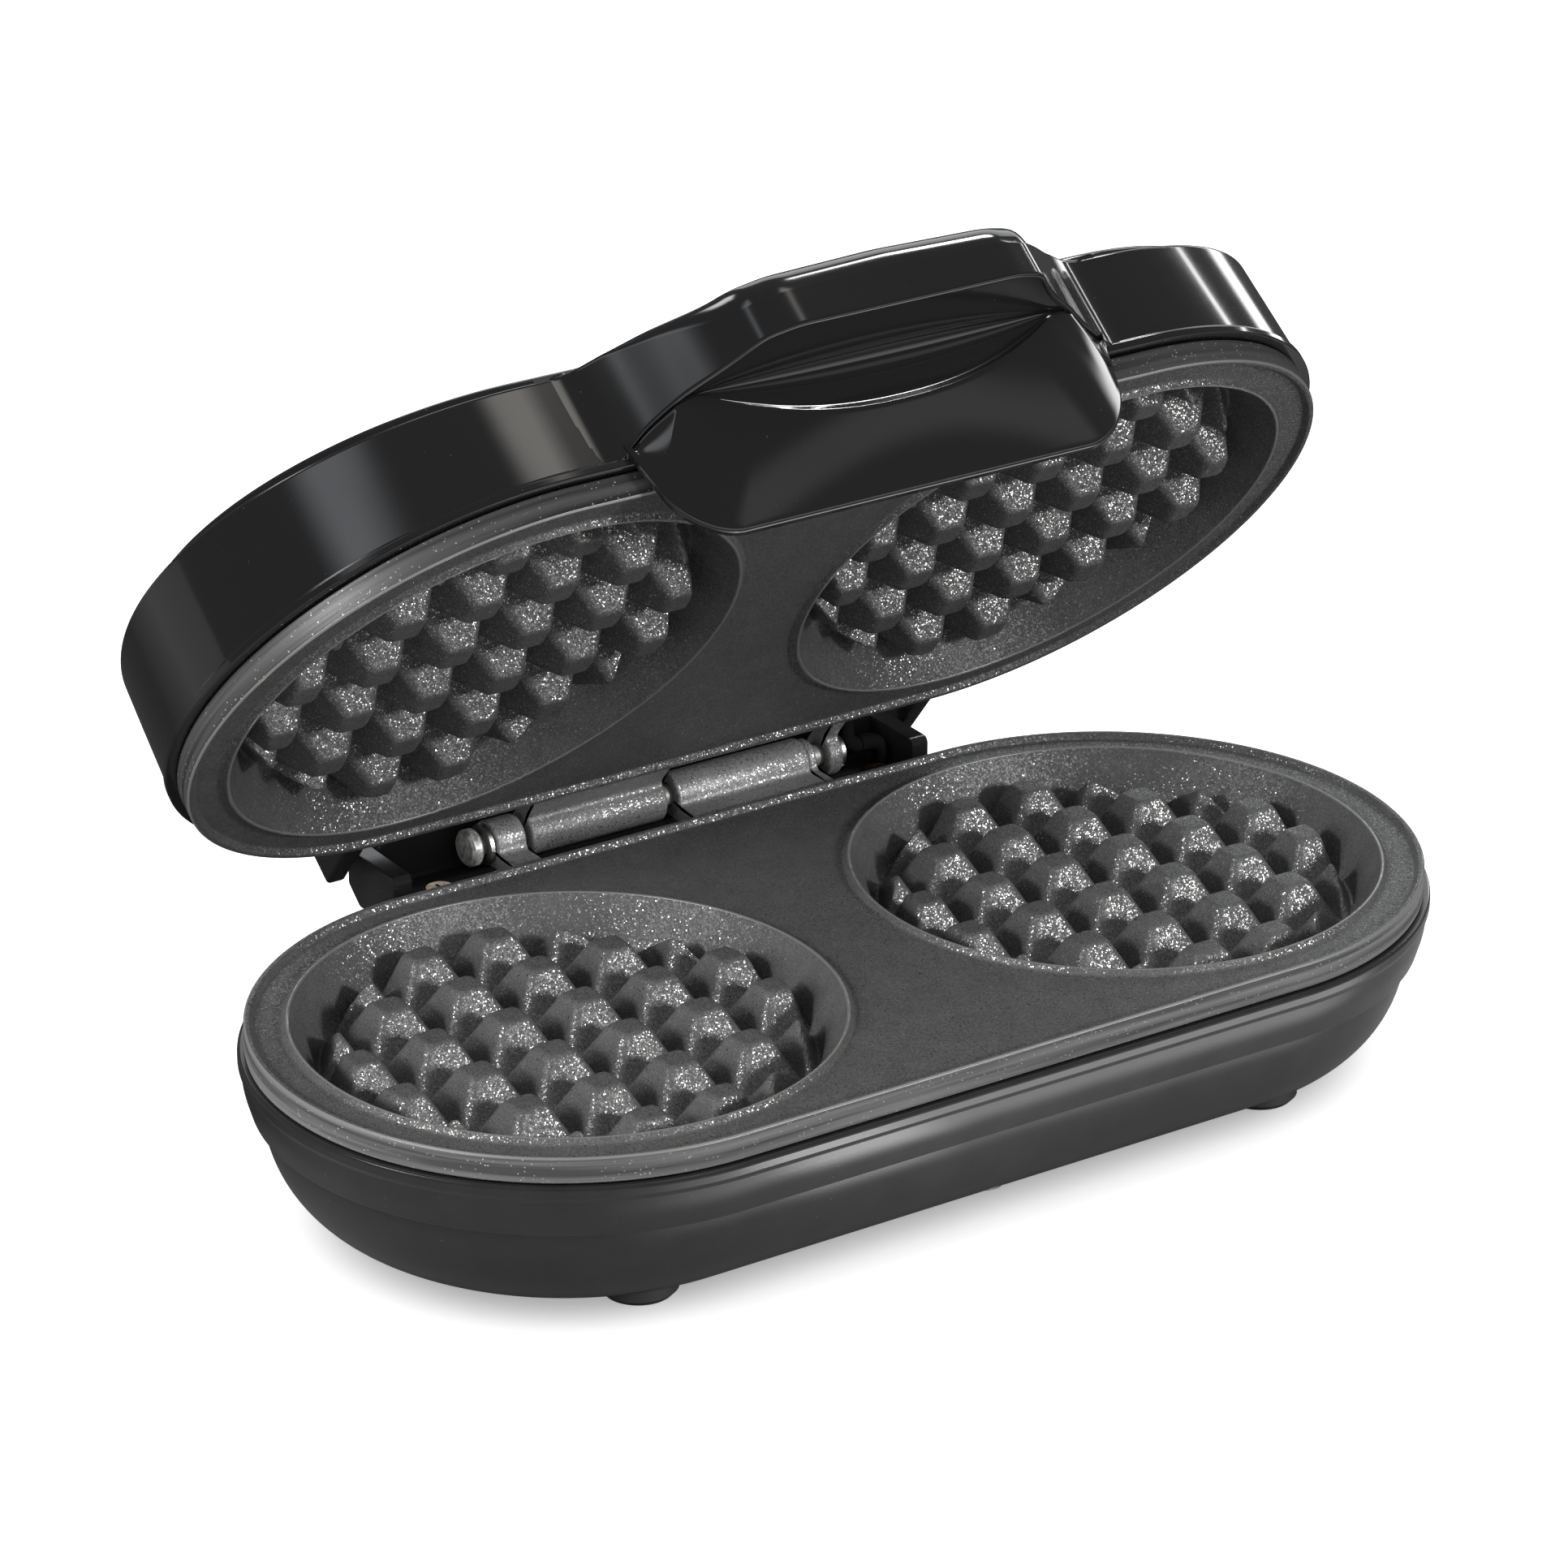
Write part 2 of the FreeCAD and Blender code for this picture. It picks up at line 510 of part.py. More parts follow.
def lower_casing():
    """Bowl, lip, rear hinge housing, screw posts, foot pads and vents in one moulding."""
    shell = stadium(bowl_face(0)).cut(stadium(bowl_face(WALL)))
    open_r = RIM_R - RIM_W + 0.2                    # the plate's band rests on this lip
    shell = shell.cut(stadium_block(open_r, -9.0, 0.0))
    shell = shell.fuse(housing_block())
    inside = HOUSING_HALF - CHEEK_T
    channel = box(-inside, inside, LIP_R + 0.2, HOUSING_REAR_Y - WALL, HOUSING_BOTTOM + 2.2, 3)
    well = stadium_block(BELT_R - WALL, HOUSING_BOTTOM - 1, -9.0)
    adds, cuts = [], [channel, well]
    for x, y in PLATE_SCREWS:
        adds.append(post(5.4, x, y, -BOWL_DEPTH + 0.6, -TRAY_BACK))
        cuts.append(post(SCREW_R + SCREW_CLEAR, x, y, -BOWL_DEPTH - 1, -TRAY_BACK + 1))
        cuts.append(post(HEAD_R + 0.4, x, y, -BOWL_DEPTH - 1, -BOWL_DEPTH + HEAD_H + 0.8))
    for x, y in FEET:
        adds.append(post(FOOT_R - 1.4, x, y, -MATE_Z + 2.2, -BOWL_DEPTH + 7.0))
        cuts.append(post(SMALL_SCREW_R + SCREW_FIT, x, y, -MATE_Z + 1, -BOWL_DEPTH + 5.0))
    for x in (-50, 50):
        adds.append(post(3.4, x, HOUSING_FRONT_Y + 1.5, HOUSING_BOTTOM + 1, -4.6))
        cuts.append(post(SMALL_SCREW_R + SCREW_FIT, x, HOUSING_FRONT_Y + 1.5, HOUSING_BOTTOM - 1, -4))
    cuts += [box(x - 1.4, x + 1.4, -28, -10, -BOWL_DEPTH - 1, -BOWL_DEPTH + 4)
             for x in range(-24, 25, 8)]
    collar = rod(GROMMET_R + 2.4, V(CORD_X, CORD_IN_Y, CORD_Z), V(CORD_X, CORD_OUT_Y - 1.2, CORD_Z))
    adds.append(collar)
    cuts.append(rod(GROMMET_R + 0.1, V(CORD_X, 44, CORD_Z), V(CORD_X, 60, CORD_Z)))
    cuts.append(rod(LEAD_R + 0.3, V(JUMPER_BASE_X, 50, -13), V(JUMPER_BASE_X, 61, -13)))
    cuts.append(post(LEAD_R + 0.3, JUMPER_BASE_X, HINGE_Y, HOUSING_BOTTOM - 1, 0))
    inner = [a.common(stadium(bowl_face(0))) if i < len(PLATE_SCREWS) else a for i, a in enumerate(adds)]
    return shell.fuse(inner).cut(cuts).removeSplitter()


def foot(x, y):
    """Rubber foot with a recess for its screw."""
    z = -MATE_Z
    body = ring([(0, z), (FOOT_R - 0.9, z), (FOOT_R, z + 1.0), (FOOT_R - 0.6, z + 7.0), (0, z + 7.0)], x, y)
    return body


def feet():
    """The four feet, each hollowed over its own boss and bowl."""
    bowl = stadium(bowl_face(0))
    result = []
    for x, y in FEET:
        pad = foot(x, y).cut(bowl)
        pad = pad.cut([post(FOOT_R - 1.4 + 0.1, x, y, -MATE_Z + 2.1, -MATE_Z + 9),
                       post(SMALL_SCREW_R + SCREW_CLEAR, x, y, -MATE_Z - 1, -MATE_Z + 3),
                       post(SMALL_HEAD_R + 0.4, x, y, -MATE_Z - 1, -MATE_Z + 1.2)])
        result.append(pad)
    return result


def foot_screws():
    z = -MATE_Z + 1.2
    return group([screw(SMALL_SCREW_R, SMALL_HEAD_R, 1.0, V(x, y, z), Z, 7.0) for x, y in FEET])


def lower_screw_seat(x, y):
    return V(x, y, -BOWL_DEPTH + HEAD_H + 0.8)


def channel_screws():
    return group([screw(SMALL_SCREW_R, SMALL_HEAD_R, 1.3, V(x, HOUSING_FRONT_Y + 1.5, -4.6), -Z, 5.0)
                  for x in (-50, 50)])


def cord_grommet():
    """Rubber bush in the rear inlet; its bore takes the mains lead."""
    y0, y1 = CORD_IN_Y, CORD_OUT_Y
    body = rod(GROMMET_R, V(CORD_X, y0, CORD_Z), V(CORD_X, y1, CORD_Z))
    flange = rod(GROMMET_R + 1.8, V(CORD_X, y1 - 1.0, CORD_Z), V(CORD_X, y1 + 1.2, CORD_Z))
    bore = rod(CORD_R, V(CORD_X, y0 - 1, CORD_Z), V(CORD_X, 61, CORD_Z))
    return body.fuse(flange).cut(bore).removeSplitter()


def cord_clamp():
    """Bar that would nip the lead to the floor, on two posts of its own."""
    z = CASING_FLOOR
    bar = box(CORD_X - 10, CORD_X + 10, 33, 39, z + 5.6, z + 8.0)
    legs = [box(x - 2.6, x + 2.6, 33, 39, z, z + 5.6) for x in (CORD_X - 7.4, CORD_X + 7.4)]
    holes = [post(SMALL_SCREW_R + 0.05, x, 36, z + 1.5, z + 9) for x in (CORD_X - 7.4, CORD_X + 7.4)]
    return bar.fuse(legs).cut(holes).removeSplitter()


def cord_clamp_screws():
    z = CASING_FLOOR + 8.0
    return group([screw(SMALL_SCREW_R, SMALL_HEAD_R - 0.3, 1.4, V(x, 36, z), -Z, 5.0)
                  for x in (CORD_X - 7.4, CORD_X + 7.4)])


# ---------------------------------------------------------------- hinge pin
def pin_ends():
    head_x1 = LOWER_EAR[0] - SIDE_GAP - CLIP_T - 1.2
    tail = UPPER_EAR[1] + SIDE_GAP
    return head_x1, tail


def hinge_pin():
    head_x1, tail = pin_ends()
    head = rod(PIN_HEAD_R, V(head_x1 - PIN_HEAD_T, HINGE_Y, 0), V(head_x1, HINGE_Y, 0))
    head = head.makeChamfer(0.5, [e for e in head.Edges if e.BoundBox.XLength < 0.01])
    end = tail + CLIP_T + 0.6
    shank = rod(PIN_R, V(head_x1 - 0.5, HINGE_Y, 0), V(end, HINGE_Y, 0))
    groove = rod(PIN_R + 1, V(tail, HINGE_Y, 0), V(tail + CLIP_T + 0.1, HINGE_Y, 0))
    groove = groove.cut(rod(PIN_R - 0.5, V(tail - 1, HINGE_Y, 0), V(end + 1, HINGE_Y, 0)))
    return head.fuse(shank).cut(groove).removeSplitter()


def retaining_clip(x, bore, radius, gap=2.2):
    """Open ring pushed on the pin from above."""
    disc = rod(radius, V(x, HINGE_Y, 0), V(x + CLIP_T, HINGE_Y, 0))
    hole = rod(bore, V(x - 1, HINGE_Y, 0), V(x + CLIP_T + 1, HINGE_Y, 0))
    mouth = box(x - 1, x + CLIP_T + 1, HINGE_Y - gap / 2, HINGE_Y + gap / 2, 0, radius + 1)
    return disc.cut([hole, mouth]).removeSplitter()


def hinge_head_washer():
    x = LOWER_EAR[0] - SIDE_GAP - CLIP_T
    disc = rod(CLIP_R + 0.5, V(x, HINGE_Y, 0), V(x + CLIP_T, HINGE_Y, 0))
    return disc.cut(rod(PIN_R + PIN_CLEAR, V(x - 1, HINGE_Y, 0), V(x + 2, HINGE_Y, 0)))


# ---------------------------------------------------------------- lid mouldings
def lid_profile(inset, bottom, top):
    return profile([(0, bottom), (LID_LIP_R - inset, bottom), (LID_LIP_R - inset, bottom + 1.2),
                    (LID_MID_R - inset, LID_MID_Z), (LID_TOP_R - inset, top), (0, top)])


def tab_block(inset, bottom, top):
    """Rear tab of the lid, in plan a flat-backed block with cut corners."""
    back, half = TAB_REAR_Y - inset, TAB_HALF - 0.6 * inset
    plan = [(-half - 6.4, 56.2 - inset), (-half - 2.7, 63.5 - inset), (-half + 1.6, back),
            (half - 1.6, back), (half + 2.7, 63.5 - inset), (half + 6.4, 56.2 - inset),
            (half + 6.4, 40), (-half - 6.4, 40)]
    corners = [V(x, y, bottom) for x, y in plan]
    return Part.Face(Part.makePolygon(corners + corners[:1])).extrude(V(0, 0, top - bottom))


# x, front y and top height of the handle fairing, from the middle outwards
FAIRING = [(0, SHELF_Y, 25.2), (23.0, SHELF_Y, 24.2), (29.5, SHELF_Y + 2.0, 23.4),
           (33.4, SHELF_Y + 7.7, 23.2), (37.2, SHELF_Y + 12.0, 23.4), (41.0, SHELF_Y + 15.5, 24.0),
           (47.0, SHELF_Y + 21.7, 25.0), (53.0, SHELF_Y + 26.2, 25.8), (60.0, SHELF_Y + 27.6, 26.0)]


def fairing(inset):
    """Bulge over the handle, as y/z sections that shrink into the lid's wall."""
    sections = []
    back = -52.0 if inset == 0 else -LID_LIP_R - 0.1
    for x, front, top in FAIRING:
        if inset and x > 41.0:
            continue
        x = x * (1 - inset / 45.0)
        f, t = front + inset, top - inset
        curve = min(1.0, (back - f) / 12.0)
        outline = [(back, SHELF_Z), (f, SHELF_Z), (f, t - 6.0 * curve), (f + 1.6 * curve, t - 2.4 * curve),
                   (f + 4.5 * curve, t - 0.6 * curve), (back, t + 1.2)]
        sections.append((x, outline))
    left = [(-x, outline) for x, outline in reversed(sections[1:])]
    return section_loft(left + sections)


def hinge_clearance(extra):
    """Cylinder round the hinge axis that the housing and lugs turn in."""
    half = HOUSING_HALF + TAB_CLEAR + extra
    sweep = rod(HOUSING_SWEEP_R + extra, V(-half, HINGE_Y, 0), V(half, HINGE_Y, 0))
    return sweep.cut(box(-half - 1, half + 1, HINGE_Y - 20, LID_LIP_R + 0.05 - extra, -20, 20))


def lid_shell():
    """Lid wall, roof, rear tab, handle fairing and screw posts in one moulding."""
    bottom = BAND_H + 0.3
    outer = stadium(lid_profile(0, bottom, LID_TOP + 1)).fuse(tab_block(0, MID_GAP + 0.1, LID_TOP + 1))
    outer = outer.common(under_arch(LID_TOP))
    inner = stadium(lid_profile(WALL, bottom + 2.0, LID_TOP + 1))
    inner = inner.fuse(tab_block(WALL, MID_GAP + 2.2, LID_TOP + 1)).common(under_arch(LID_TOP - WALL))
    inner = inner.cut(hinge_clearance(WALL))
    half = HOUSING_HALF + TAB_CLEAR
    plate_room = stadium_block(RIM_R + 0.3, -1.0, bottom).fuse(box(-half, half, 50, 62, -1.0, bottom))
    mouth = stadium_block(RIM_R - RIM_W + 0.2, bottom - 0.5, bottom + 3.0)
    shell = outer.fuse(fairing(0)).cut([inner, hinge_clearance(0), plate_room, mouth, fairing(HANDLE_WALL)])
    adds, cuts = [], []
    for x, y in PLATE_SCREWS:
        seat = upper_screw_seat(x, y).z
        adds.append(post(5.4, x, y, TRAY_BACK, seat + 0.5))
        cuts.append(post(SCREW_R + SCREW_CLEAR, x, y, TRAY_BACK - 1, LID_TOP + 2))
        cuts.append(post(HEAD_R + 0.4, x, y, seat, LID_TOP + 2))
    for x, y in COVER_PEGS:
        cuts.append(post(1.7, x, y, LID_TOP - 8, LID_TOP + 2))
    for x in (-HANDLE_SCREW_X, HANDLE_SCREW_X):
        cuts.append(rod(SMALL_SCREW_R + 0.2, V(x, -50, HANDLE_SCREW_Z), V(x, -64, HANDLE_SCREW_Z)))
    cuts += [post(LAMP_R + 0.4, x, LAMP_Y, LID_TOP - 6, LID_TOP + 2) for x in LAMP_X]
    angle = math.radians(JUMPER_LID_DEG)
    ray = V(0, math.cos(angle), math.sin(angle))
    start = V(JUMPER_LID_X, HINGE_Y, 0)
    cuts.append(rod(LEAD_R + 0.3, start + ray * 9, start + ray * 17))
    return shell.fuse(adds).cut(cuts).removeSplitter()


COVER_PEGS = [(sx * 85.0, sy * 24.0) for sx in (-1, 1) for sy in (-1, 1)]
LAMP_R, LAMP_Y, LAMP_X = 3.0, -30.0, (-8.0, 8.0)


def upper_screw_seat(x, y):
    """Seat of a lid screw, a head's depth below the arched roof."""
    crest = LID_TOP - ARCH_R + math.sqrt(ARCH_R ** 2 - (abs(y) + HEAD_R) ** 2)
    return V(x, y, crest - HEAD_H - 0.3)


def lid_cover():
    """Arched top panel that hides the lid's screws and carries the lamp lenses."""
    base = LID_TOP + COVER_LIFT
    block = stadium(profile([(0, 10), (COVER_R, 10), (COVER_R - 0.6, COVER_TOP + 1), (0, COVER_TOP + 1)]))
    block = block.common(under_arch(COVER_TOP)).cut(under_arch(base))
    rim = [e for e in block.Edges if e.BoundBox.ZMin > 29.0 and is_on_arch(e, COVER_TOP)]
    block = block.makeFillet(1.2, rim)
    hollow = stadium_block(COVER_R - COVER_T, 10, COVER_TOP + 1).common(under_arch(COVER_TOP - COVER_T))
    pegs = [post(1.4, x, y, LID_TOP - 5.0, COVER_TOP - COVER_T - 0.3) for x, y in COVER_PEGS]
    holes = [post(LAMP_R - 0.6, x, LAMP_Y, LID_TOP, COVER_TOP + 1) for x in LAMP_X]
    return block.cut(hollow.cut(under_arch(base - 0.01))).fuse(pegs).cut(holes).removeSplitter()


def is_on_arch(edge, top):
    """True where an edge's middle lies on the arch with that crest."""
    p = edge.valueAt((edge.FirstParameter + edge.LastParameter) / 2)
    return abs(math.hypot(p.y, p.z - top + ARCH_R) - ARCH_R) < 0.01


# x, skirt bottom, edge y, edge height and pocket wall y, from the middle outwards
SKIRT = [(0, -SKIRT_DROP, POCKET_Y + 0.5, 0.9, POCKET_Y), (12.8, -SKIRT_DROP, POCKET_Y + 0.5, 2.0, POCKET_Y),
         (25.6, -SKIRT_DROP, POCKET_Y + 0.5, 5.5, POCKET_Y),
         (36.5, -SKIRT_DROP, POCKET_Y + 0.7, 10.2, POCKET_Y + 0.3),
         (42.0, -11.0, POCKET_Y + 2.8, 10.7, POCKET_Y + 2.5), (46.0, -6.0, POCKET_Y + 5.6, 10.9, POCKET_Y + 5.4),
         (48.6, 1.0, POCKET_Y + 7.9, 11.0, POCKET_Y + 7.7)]


def skirt(inset):
    """Tongue that hangs before the plates and swells out to the finger pocket's edge."""
    sections = []
    for x, low, edge_y, edge_z, wall_y in SKIRT:
        if inset and x > 42.0:
            continue
        x = x * (1 - inset / 45.0)
        back, top = SKIRT_Y - inset, SHELF_Z + (0.1 if inset else 0.0)
        foot_y = SKIRT_Y - SKIRT_T + (0.0 if not inset else -0.4)
        outline = [(back, low + inset), (foot_y, low + inset),
                   ((foot_y + edge_y) / 2 - 1.2 + inset, (low + edge_z) / 2),
                   (edge_y + inset, edge_z + 0.2 * inset), (wall_y + inset, top), (back, top)]
        sections.append((x, outline))
    left = [(-x, outline) for x, outline in reversed(sections[1:])]
    return section_loft(left + sections)


def shelf_plate():
    """Floor of the fairing: the finger shelf and the top of the skirt."""
    room = HANDLE_WALL + 0.15
    right = [(x * (1 - room / 45.0), front + room) for x, front, _ in FAIRING if x <= 41.0]
    plan = [(x, y) for x, y in right] + [(right[-1][0], SKIRT_Y)]
    plan = plan + [(-x, y) for x, y in reversed(plan[1:])]
    corners = [V(x, y, SHELF_Z) for x, y in plan]
    return Part.Face(Part.makePolygon(corners + corners[:1])).extrude(V(0, 0, SHELF_T))


def handle_grip():
    """Skirt, finger pocket and shelf in one moulding, with two blind screw bosses."""
    body = skirt(0).cut(skirt(SKIRT_T)).fuse(shelf_plate())
    bosses, holes = [], []
    for x in (-HANDLE_SCREW_X, HANDLE_SCREW_X):
        centre = HANDLE_SCREW_Z - 1.0
        bosses.append(rod(3.4, V(x, SKIRT_Y, centre), V(x, SKIRT_Y - 7, centre)))
        holes.append(rod(SMALL_SCREW_R + SCREW_FIT, V(x, SKIRT_Y + 1, HANDLE_SCREW_Z),
                         V(x, SKIRT_Y - 6.0, HANDLE_SCREW_Z)))
    return body.fuse(bosses).cut(holes).removeSplitter()


def handle_screws():
    seat_y = -LID_LIP_R + WALL + 0.4
    return group([screw(SMALL_SCREW_R, SMALL_HEAD_R - 0.3, 1.4, V(x, seat_y, HANDLE_SCREW_Z), -Y, 7.4)
                  for x in (-HANDLE_SCREW_X, HANDLE_SCREW_X)])


# ---------------------------------------------------------------- lamps and jumper lead
def lamp_lens(x):
    """Small domed lens with a stem, pushed into the top cover."""
    crest = COVER_TOP - ARCH_R + math.sqrt(ARCH_R ** 2 - LAMP_Y ** 2)
    stem = LAMP_R - 0.7
    return ring([(0, LID_TOP + 0.6), (stem, LID_TOP + 0.6), (stem, crest + 0.25), (LAMP_R, crest + 0.25),
                 (LAMP_R - 0.5, crest + 0.9), (LAMP_R - 1.6, crest + 1.3), (0, crest + 1.4)], x, LAMP_Y)


def neon_lamps():
    """Two glow lamps under the lenses, in the holes of the roof."""
    low, high = LID_TOP - 8.4, LID_TOP + 0.2
    return group([ring([(0, low), (1.6, low), (1.8, low + 1), (1.8, high - 1.6), (0.6, high), (0, high)],
                       x, LAMP_Y) for x in LAMP_X])


def lamp_holder():
    """Clip under the roof that grips both glow lamps."""
    roof = LID_TOP - WALL - ARCH_R + math.sqrt((ARCH_R - 0) ** 2 - (abs(LAMP_Y) + 5) ** 2)
    bar = box(-14, 14, LAMP_Y - 4.4, LAMP_Y + 4.4, roof - 4.3, roof - 0.1)
    return bar.cut([post(1.9, x, LAMP_Y, roof - 8, roof + 2) for x in LAMP_X])


def upper_wires():
    """Leads from the jumper's end to the lid's element legs, and on to the lamps."""
    leg_z = ELEMENT_LEG_END + 1.4
    r = 1.0
    runs = [
        [V(ELEMENT_LEG_X + 2.6, ELEMENT_LOOP_R, leg_z), V(ELEMENT_LEG_X + 9, ELEMENT_LOOP_R, leg_z),
         V(30, 47, 23.2), V(42, 53.6, 23.0), V(46.4, 53.9, 16.6)],
        [V(-ELEMENT_LEG_X, ELEMENT_LOOP_R - 2.6, leg_z), V(-ELEMENT_LEG_X, 22, leg_z - 0.4),
         V(-16, 0, 23.6), V(LAMP_X[0] - 6, LAMP_Y + 12, 23.5), V(LAMP_X[0] - 1, LAMP_Y + 6, 23.5)],
    ]
    return group([tube(run, r, 3.0) for run in runs])


def jumper_lead_base():
    """Base half of the sleeved lead between the halves: out at the rear and onto the hinge axis."""
    x = JUMPER_BASE_X
    return tube([V(x, 50, -13), V(x, HINGE_Y, -13), V(x, HINGE_Y, 0), V(JUMPER_X + 0.1, HINGE_Y, 0)],
                LEAD_R, 3.6)


def jumper_lead_lid():
    """Lid half: off the hinge axis and up into the lid."""
    angle = math.radians(JUMPER_LID_DEG)
    ray = V(0, math.cos(angle), math.sin(angle))
    start = V(JUMPER_LID_X, HINGE_Y, 0)
    return tube([V(JUMPER_X - 0.1, HINGE_Y, 0), start, start + ray * 20], LEAD_R, 2.4)


# ---------------------------------------------------------------- assembly
def build():
    saddles, saddle_screws = element_clamps()
    foot_names = ["foot_front_left", "foot_rear_left", "foot_front_right", "foot_rear_right"]
    base = {
        "lower_casing": lower_casing(),
        "foot_screws": foot_screws(),
        "lower_waffle_plate": lower_waffle_plate(),
        "lower_heating_element": heating_element(),
        "lower_element_saddles": saddles,
        "lower_saddle_screws": saddle_screws,
        "lower_reflector": reflector(),
        "lower_plate_screws": plate_screws(lower_screw_seat),
        "thermostat": thermostat(),
        "thermostat_strap": thermostat_strap(),
        "thermostat_screws": thermostat_screws(),
        "thermal_fuse": thermal_fuse(),
        "terminal_block": terminal_block(),
        "terminal_screws": terminal_screws(),
        "lower_wires": lower_wires(),
        "cord_grommet": cord_grommet(),
        "cord_clamp": cord_clamp(),
        "cord_clamp_screws": cord_clamp_screws(),
        "channel_screws": channel_screws(),
        "hinge_pin": hinge_pin(),
        "hinge_head_washer": hinge_head_washer(),
        "hinge_end_clip": retaining_clip(pin_ends()[1] + 0.05, PIN_R - 0.45, CLIP_R),
        "jumper_lead_base": jumper_lead_base(),
    }
    base.update(zip(foot_names, feet()))
    lid = {
        "lid_shell": lid_shell(),
        "lid_cover": lid_cover(),
        "handle_grip": handle_grip(),
        "handle_screws": handle_screws(),
        "upper_waffle_plate": upper_waffle_plate(),
        "upper_heating_element": mirrored(heating_element()),
        "upper_element_saddles": mirrored(saddles),
        "upper_saddle_screws": mirrored(saddle_screws),
        "upper_reflector": mirrored(reflector()),
        "upper_plate_screws": mirrored(plate_screws(lambda x, y: -upper_screw_seat(x, y))),
        "power_lamp_lens": lamp_lens(LAMP_X[0]),
        "ready_lamp_lens": lamp_lens(LAMP_X[1]),
        "neon_lamps": neon_lamps(),
        "lamp_holder": lamp_holder(),
        "upper_wires": upper_wires(),
        "jumper_lead_lid": jumper_lead_lid(),
    }
    nodes = {name: base_place(shape) for name, shape in base.items()}
    nodes.update({name: lid_place(shape) for name, shape in lid.items()})
    return nodes


def main():
    os.makedirs("parts", exist_ok=True)
    for name, shape in build().items():
        bad = [s for s in shape.Solids if not s.isValid() or s.Volume <= 0]
        if bad or not shape.Solids:
            raise ValueError(name + " has a bad solid")
        box_ = shape.BoundBox
        print("%-22s %2d solids %10.1f mm3  x %.1f..%.1f y %.1f..%.1f z %.1f..%.1f" % (
            name, len(shape.Solids), shape.Volume, box_.XMin, box_.XMax, box_.YMin, box_.YMax,
            box_.ZMin, box_.ZMax))
        shape.exportStep("parts/%s.step" % name)


main()
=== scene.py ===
import json
import math
from contextlib import contextmanager

import bmesh
import bpy
import numpy as np
from bpy.props import FloatProperty, FloatVectorProperty, IntProperty, PointerProperty
from mathutils import Matrix, Vector
from mathutils.geometry import delaunay_2d_cdt


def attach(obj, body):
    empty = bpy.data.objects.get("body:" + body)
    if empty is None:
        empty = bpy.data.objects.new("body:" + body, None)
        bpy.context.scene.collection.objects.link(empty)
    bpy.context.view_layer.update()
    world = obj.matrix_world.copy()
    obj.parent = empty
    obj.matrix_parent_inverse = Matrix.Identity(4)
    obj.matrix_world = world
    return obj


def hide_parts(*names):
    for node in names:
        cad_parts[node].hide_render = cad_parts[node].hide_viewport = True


bl_info = {
    "name": "Double Waffle Maker",
    "version": (1, 0, 0),
    "blender": (4, 5, 0),
    "location": "3D View > Sidebar > Waffle Maker",
    "description": "Builds the surfaces and finishes of a hinged waffle maker with two moulds",
    "category": "Object",
}

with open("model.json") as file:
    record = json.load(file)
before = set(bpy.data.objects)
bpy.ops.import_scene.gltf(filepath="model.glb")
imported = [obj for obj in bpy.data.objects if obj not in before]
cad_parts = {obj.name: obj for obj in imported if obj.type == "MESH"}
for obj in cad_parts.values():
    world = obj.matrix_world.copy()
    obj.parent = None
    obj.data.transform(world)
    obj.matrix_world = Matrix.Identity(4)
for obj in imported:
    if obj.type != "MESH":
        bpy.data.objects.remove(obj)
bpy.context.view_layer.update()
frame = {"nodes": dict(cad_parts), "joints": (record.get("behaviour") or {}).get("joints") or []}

MM = 0.001
BASE, LID = "base", "lid"

# ---------------------------------------------------------------- places taken from the frame
# X runs along the two moulds, the handle is at -Y and the hinge at +Y.  Base pieces are drawn
# with z = 0 on the plane where the plates meet, lid pieces as if shut, with z = height above it.
JOINT = frame["joints"][0]
HINGE = Vector(JOINT["pos_m"])
OPEN_ANGLE = math.radians(JOINT["range_deg"][0])
BASE_PLACE = Matrix.Translation((0, 0, HINGE.z))
LID_SWING = Matrix.Translation(HINGE) @ Matrix.Rotation(OPEN_ANGLE, 4, "X") @ Matrix.Translation(-HINGE)
LID_PLACE = LID_SWING @ BASE_PLACE
TURN_OVER = Matrix.Diagonal((1, 1, -1, 1))


def drawn_box(node, place):
    """Lowest and highest corner of a CAD node, in the frame that its body is drawn in."""
    points = np.array([place.inverted() @ v.co for v in frame["nodes"][node].data.vertices])
    return points.min(0), points.max(0)


PLATE_LOW, PLATE_HIGH = drawn_box("lower_waffle_plate", BASE_PLACE)
CASING_LOW, CASING_HIGH = drawn_box("lower_casing", BASE_PLACE)
SHELL_LOW, SHELL_HIGH = drawn_box("lid_shell", LID_PLACE)
COVER_LOW, COVER_HIGH = drawn_box("lid_cover", LID_PLACE)
GRIP_LOW, GRIP_HIGH = drawn_box("handle_grip", LID_PLACE)
BUSH_LOW, BUSH_HIGH = drawn_box("cord_grommet", BASE_PLACE)

RIM_R = -PLATE_LOW[1]                   # radius of the plate's ends
MOULD_X = PLATE_HIGH[0] - RIM_R         # mould centre from the middle of the plate
LIP_R = CASING_HIGH[0] - MOULD_X
LID_LIP_R = SHELL_HIGH[0] - MOULD_X
COVER_R = COVER_HIGH[0] - MOULD_X
HINGE_Y = HINGE.y
NOSE_OUT = -SHELL_LOW[1]                # how far the handle's fairing reaches forward


# ---------------------------------------------------------------- outlines and profiles
# How many pieces each end and each straight of an outline is cut into
END_STEPS, SIDE_STEPS = 96, 48
RIM_SIDE_STEPS = 64                     # each straight of the plate's rim
LID_SIDE_STEPS = 96                     # each straight of the lid's wall
CUTTER_STEPS = (2, 48)                  # each straight and each end of an outline used as a cutter
MOULD_STEPS, RING_STEPS = 192, 288      # round the wall and round the floor of a mould
HOLD = 0.15 * MM                        # how far beside an arc its extra points are held


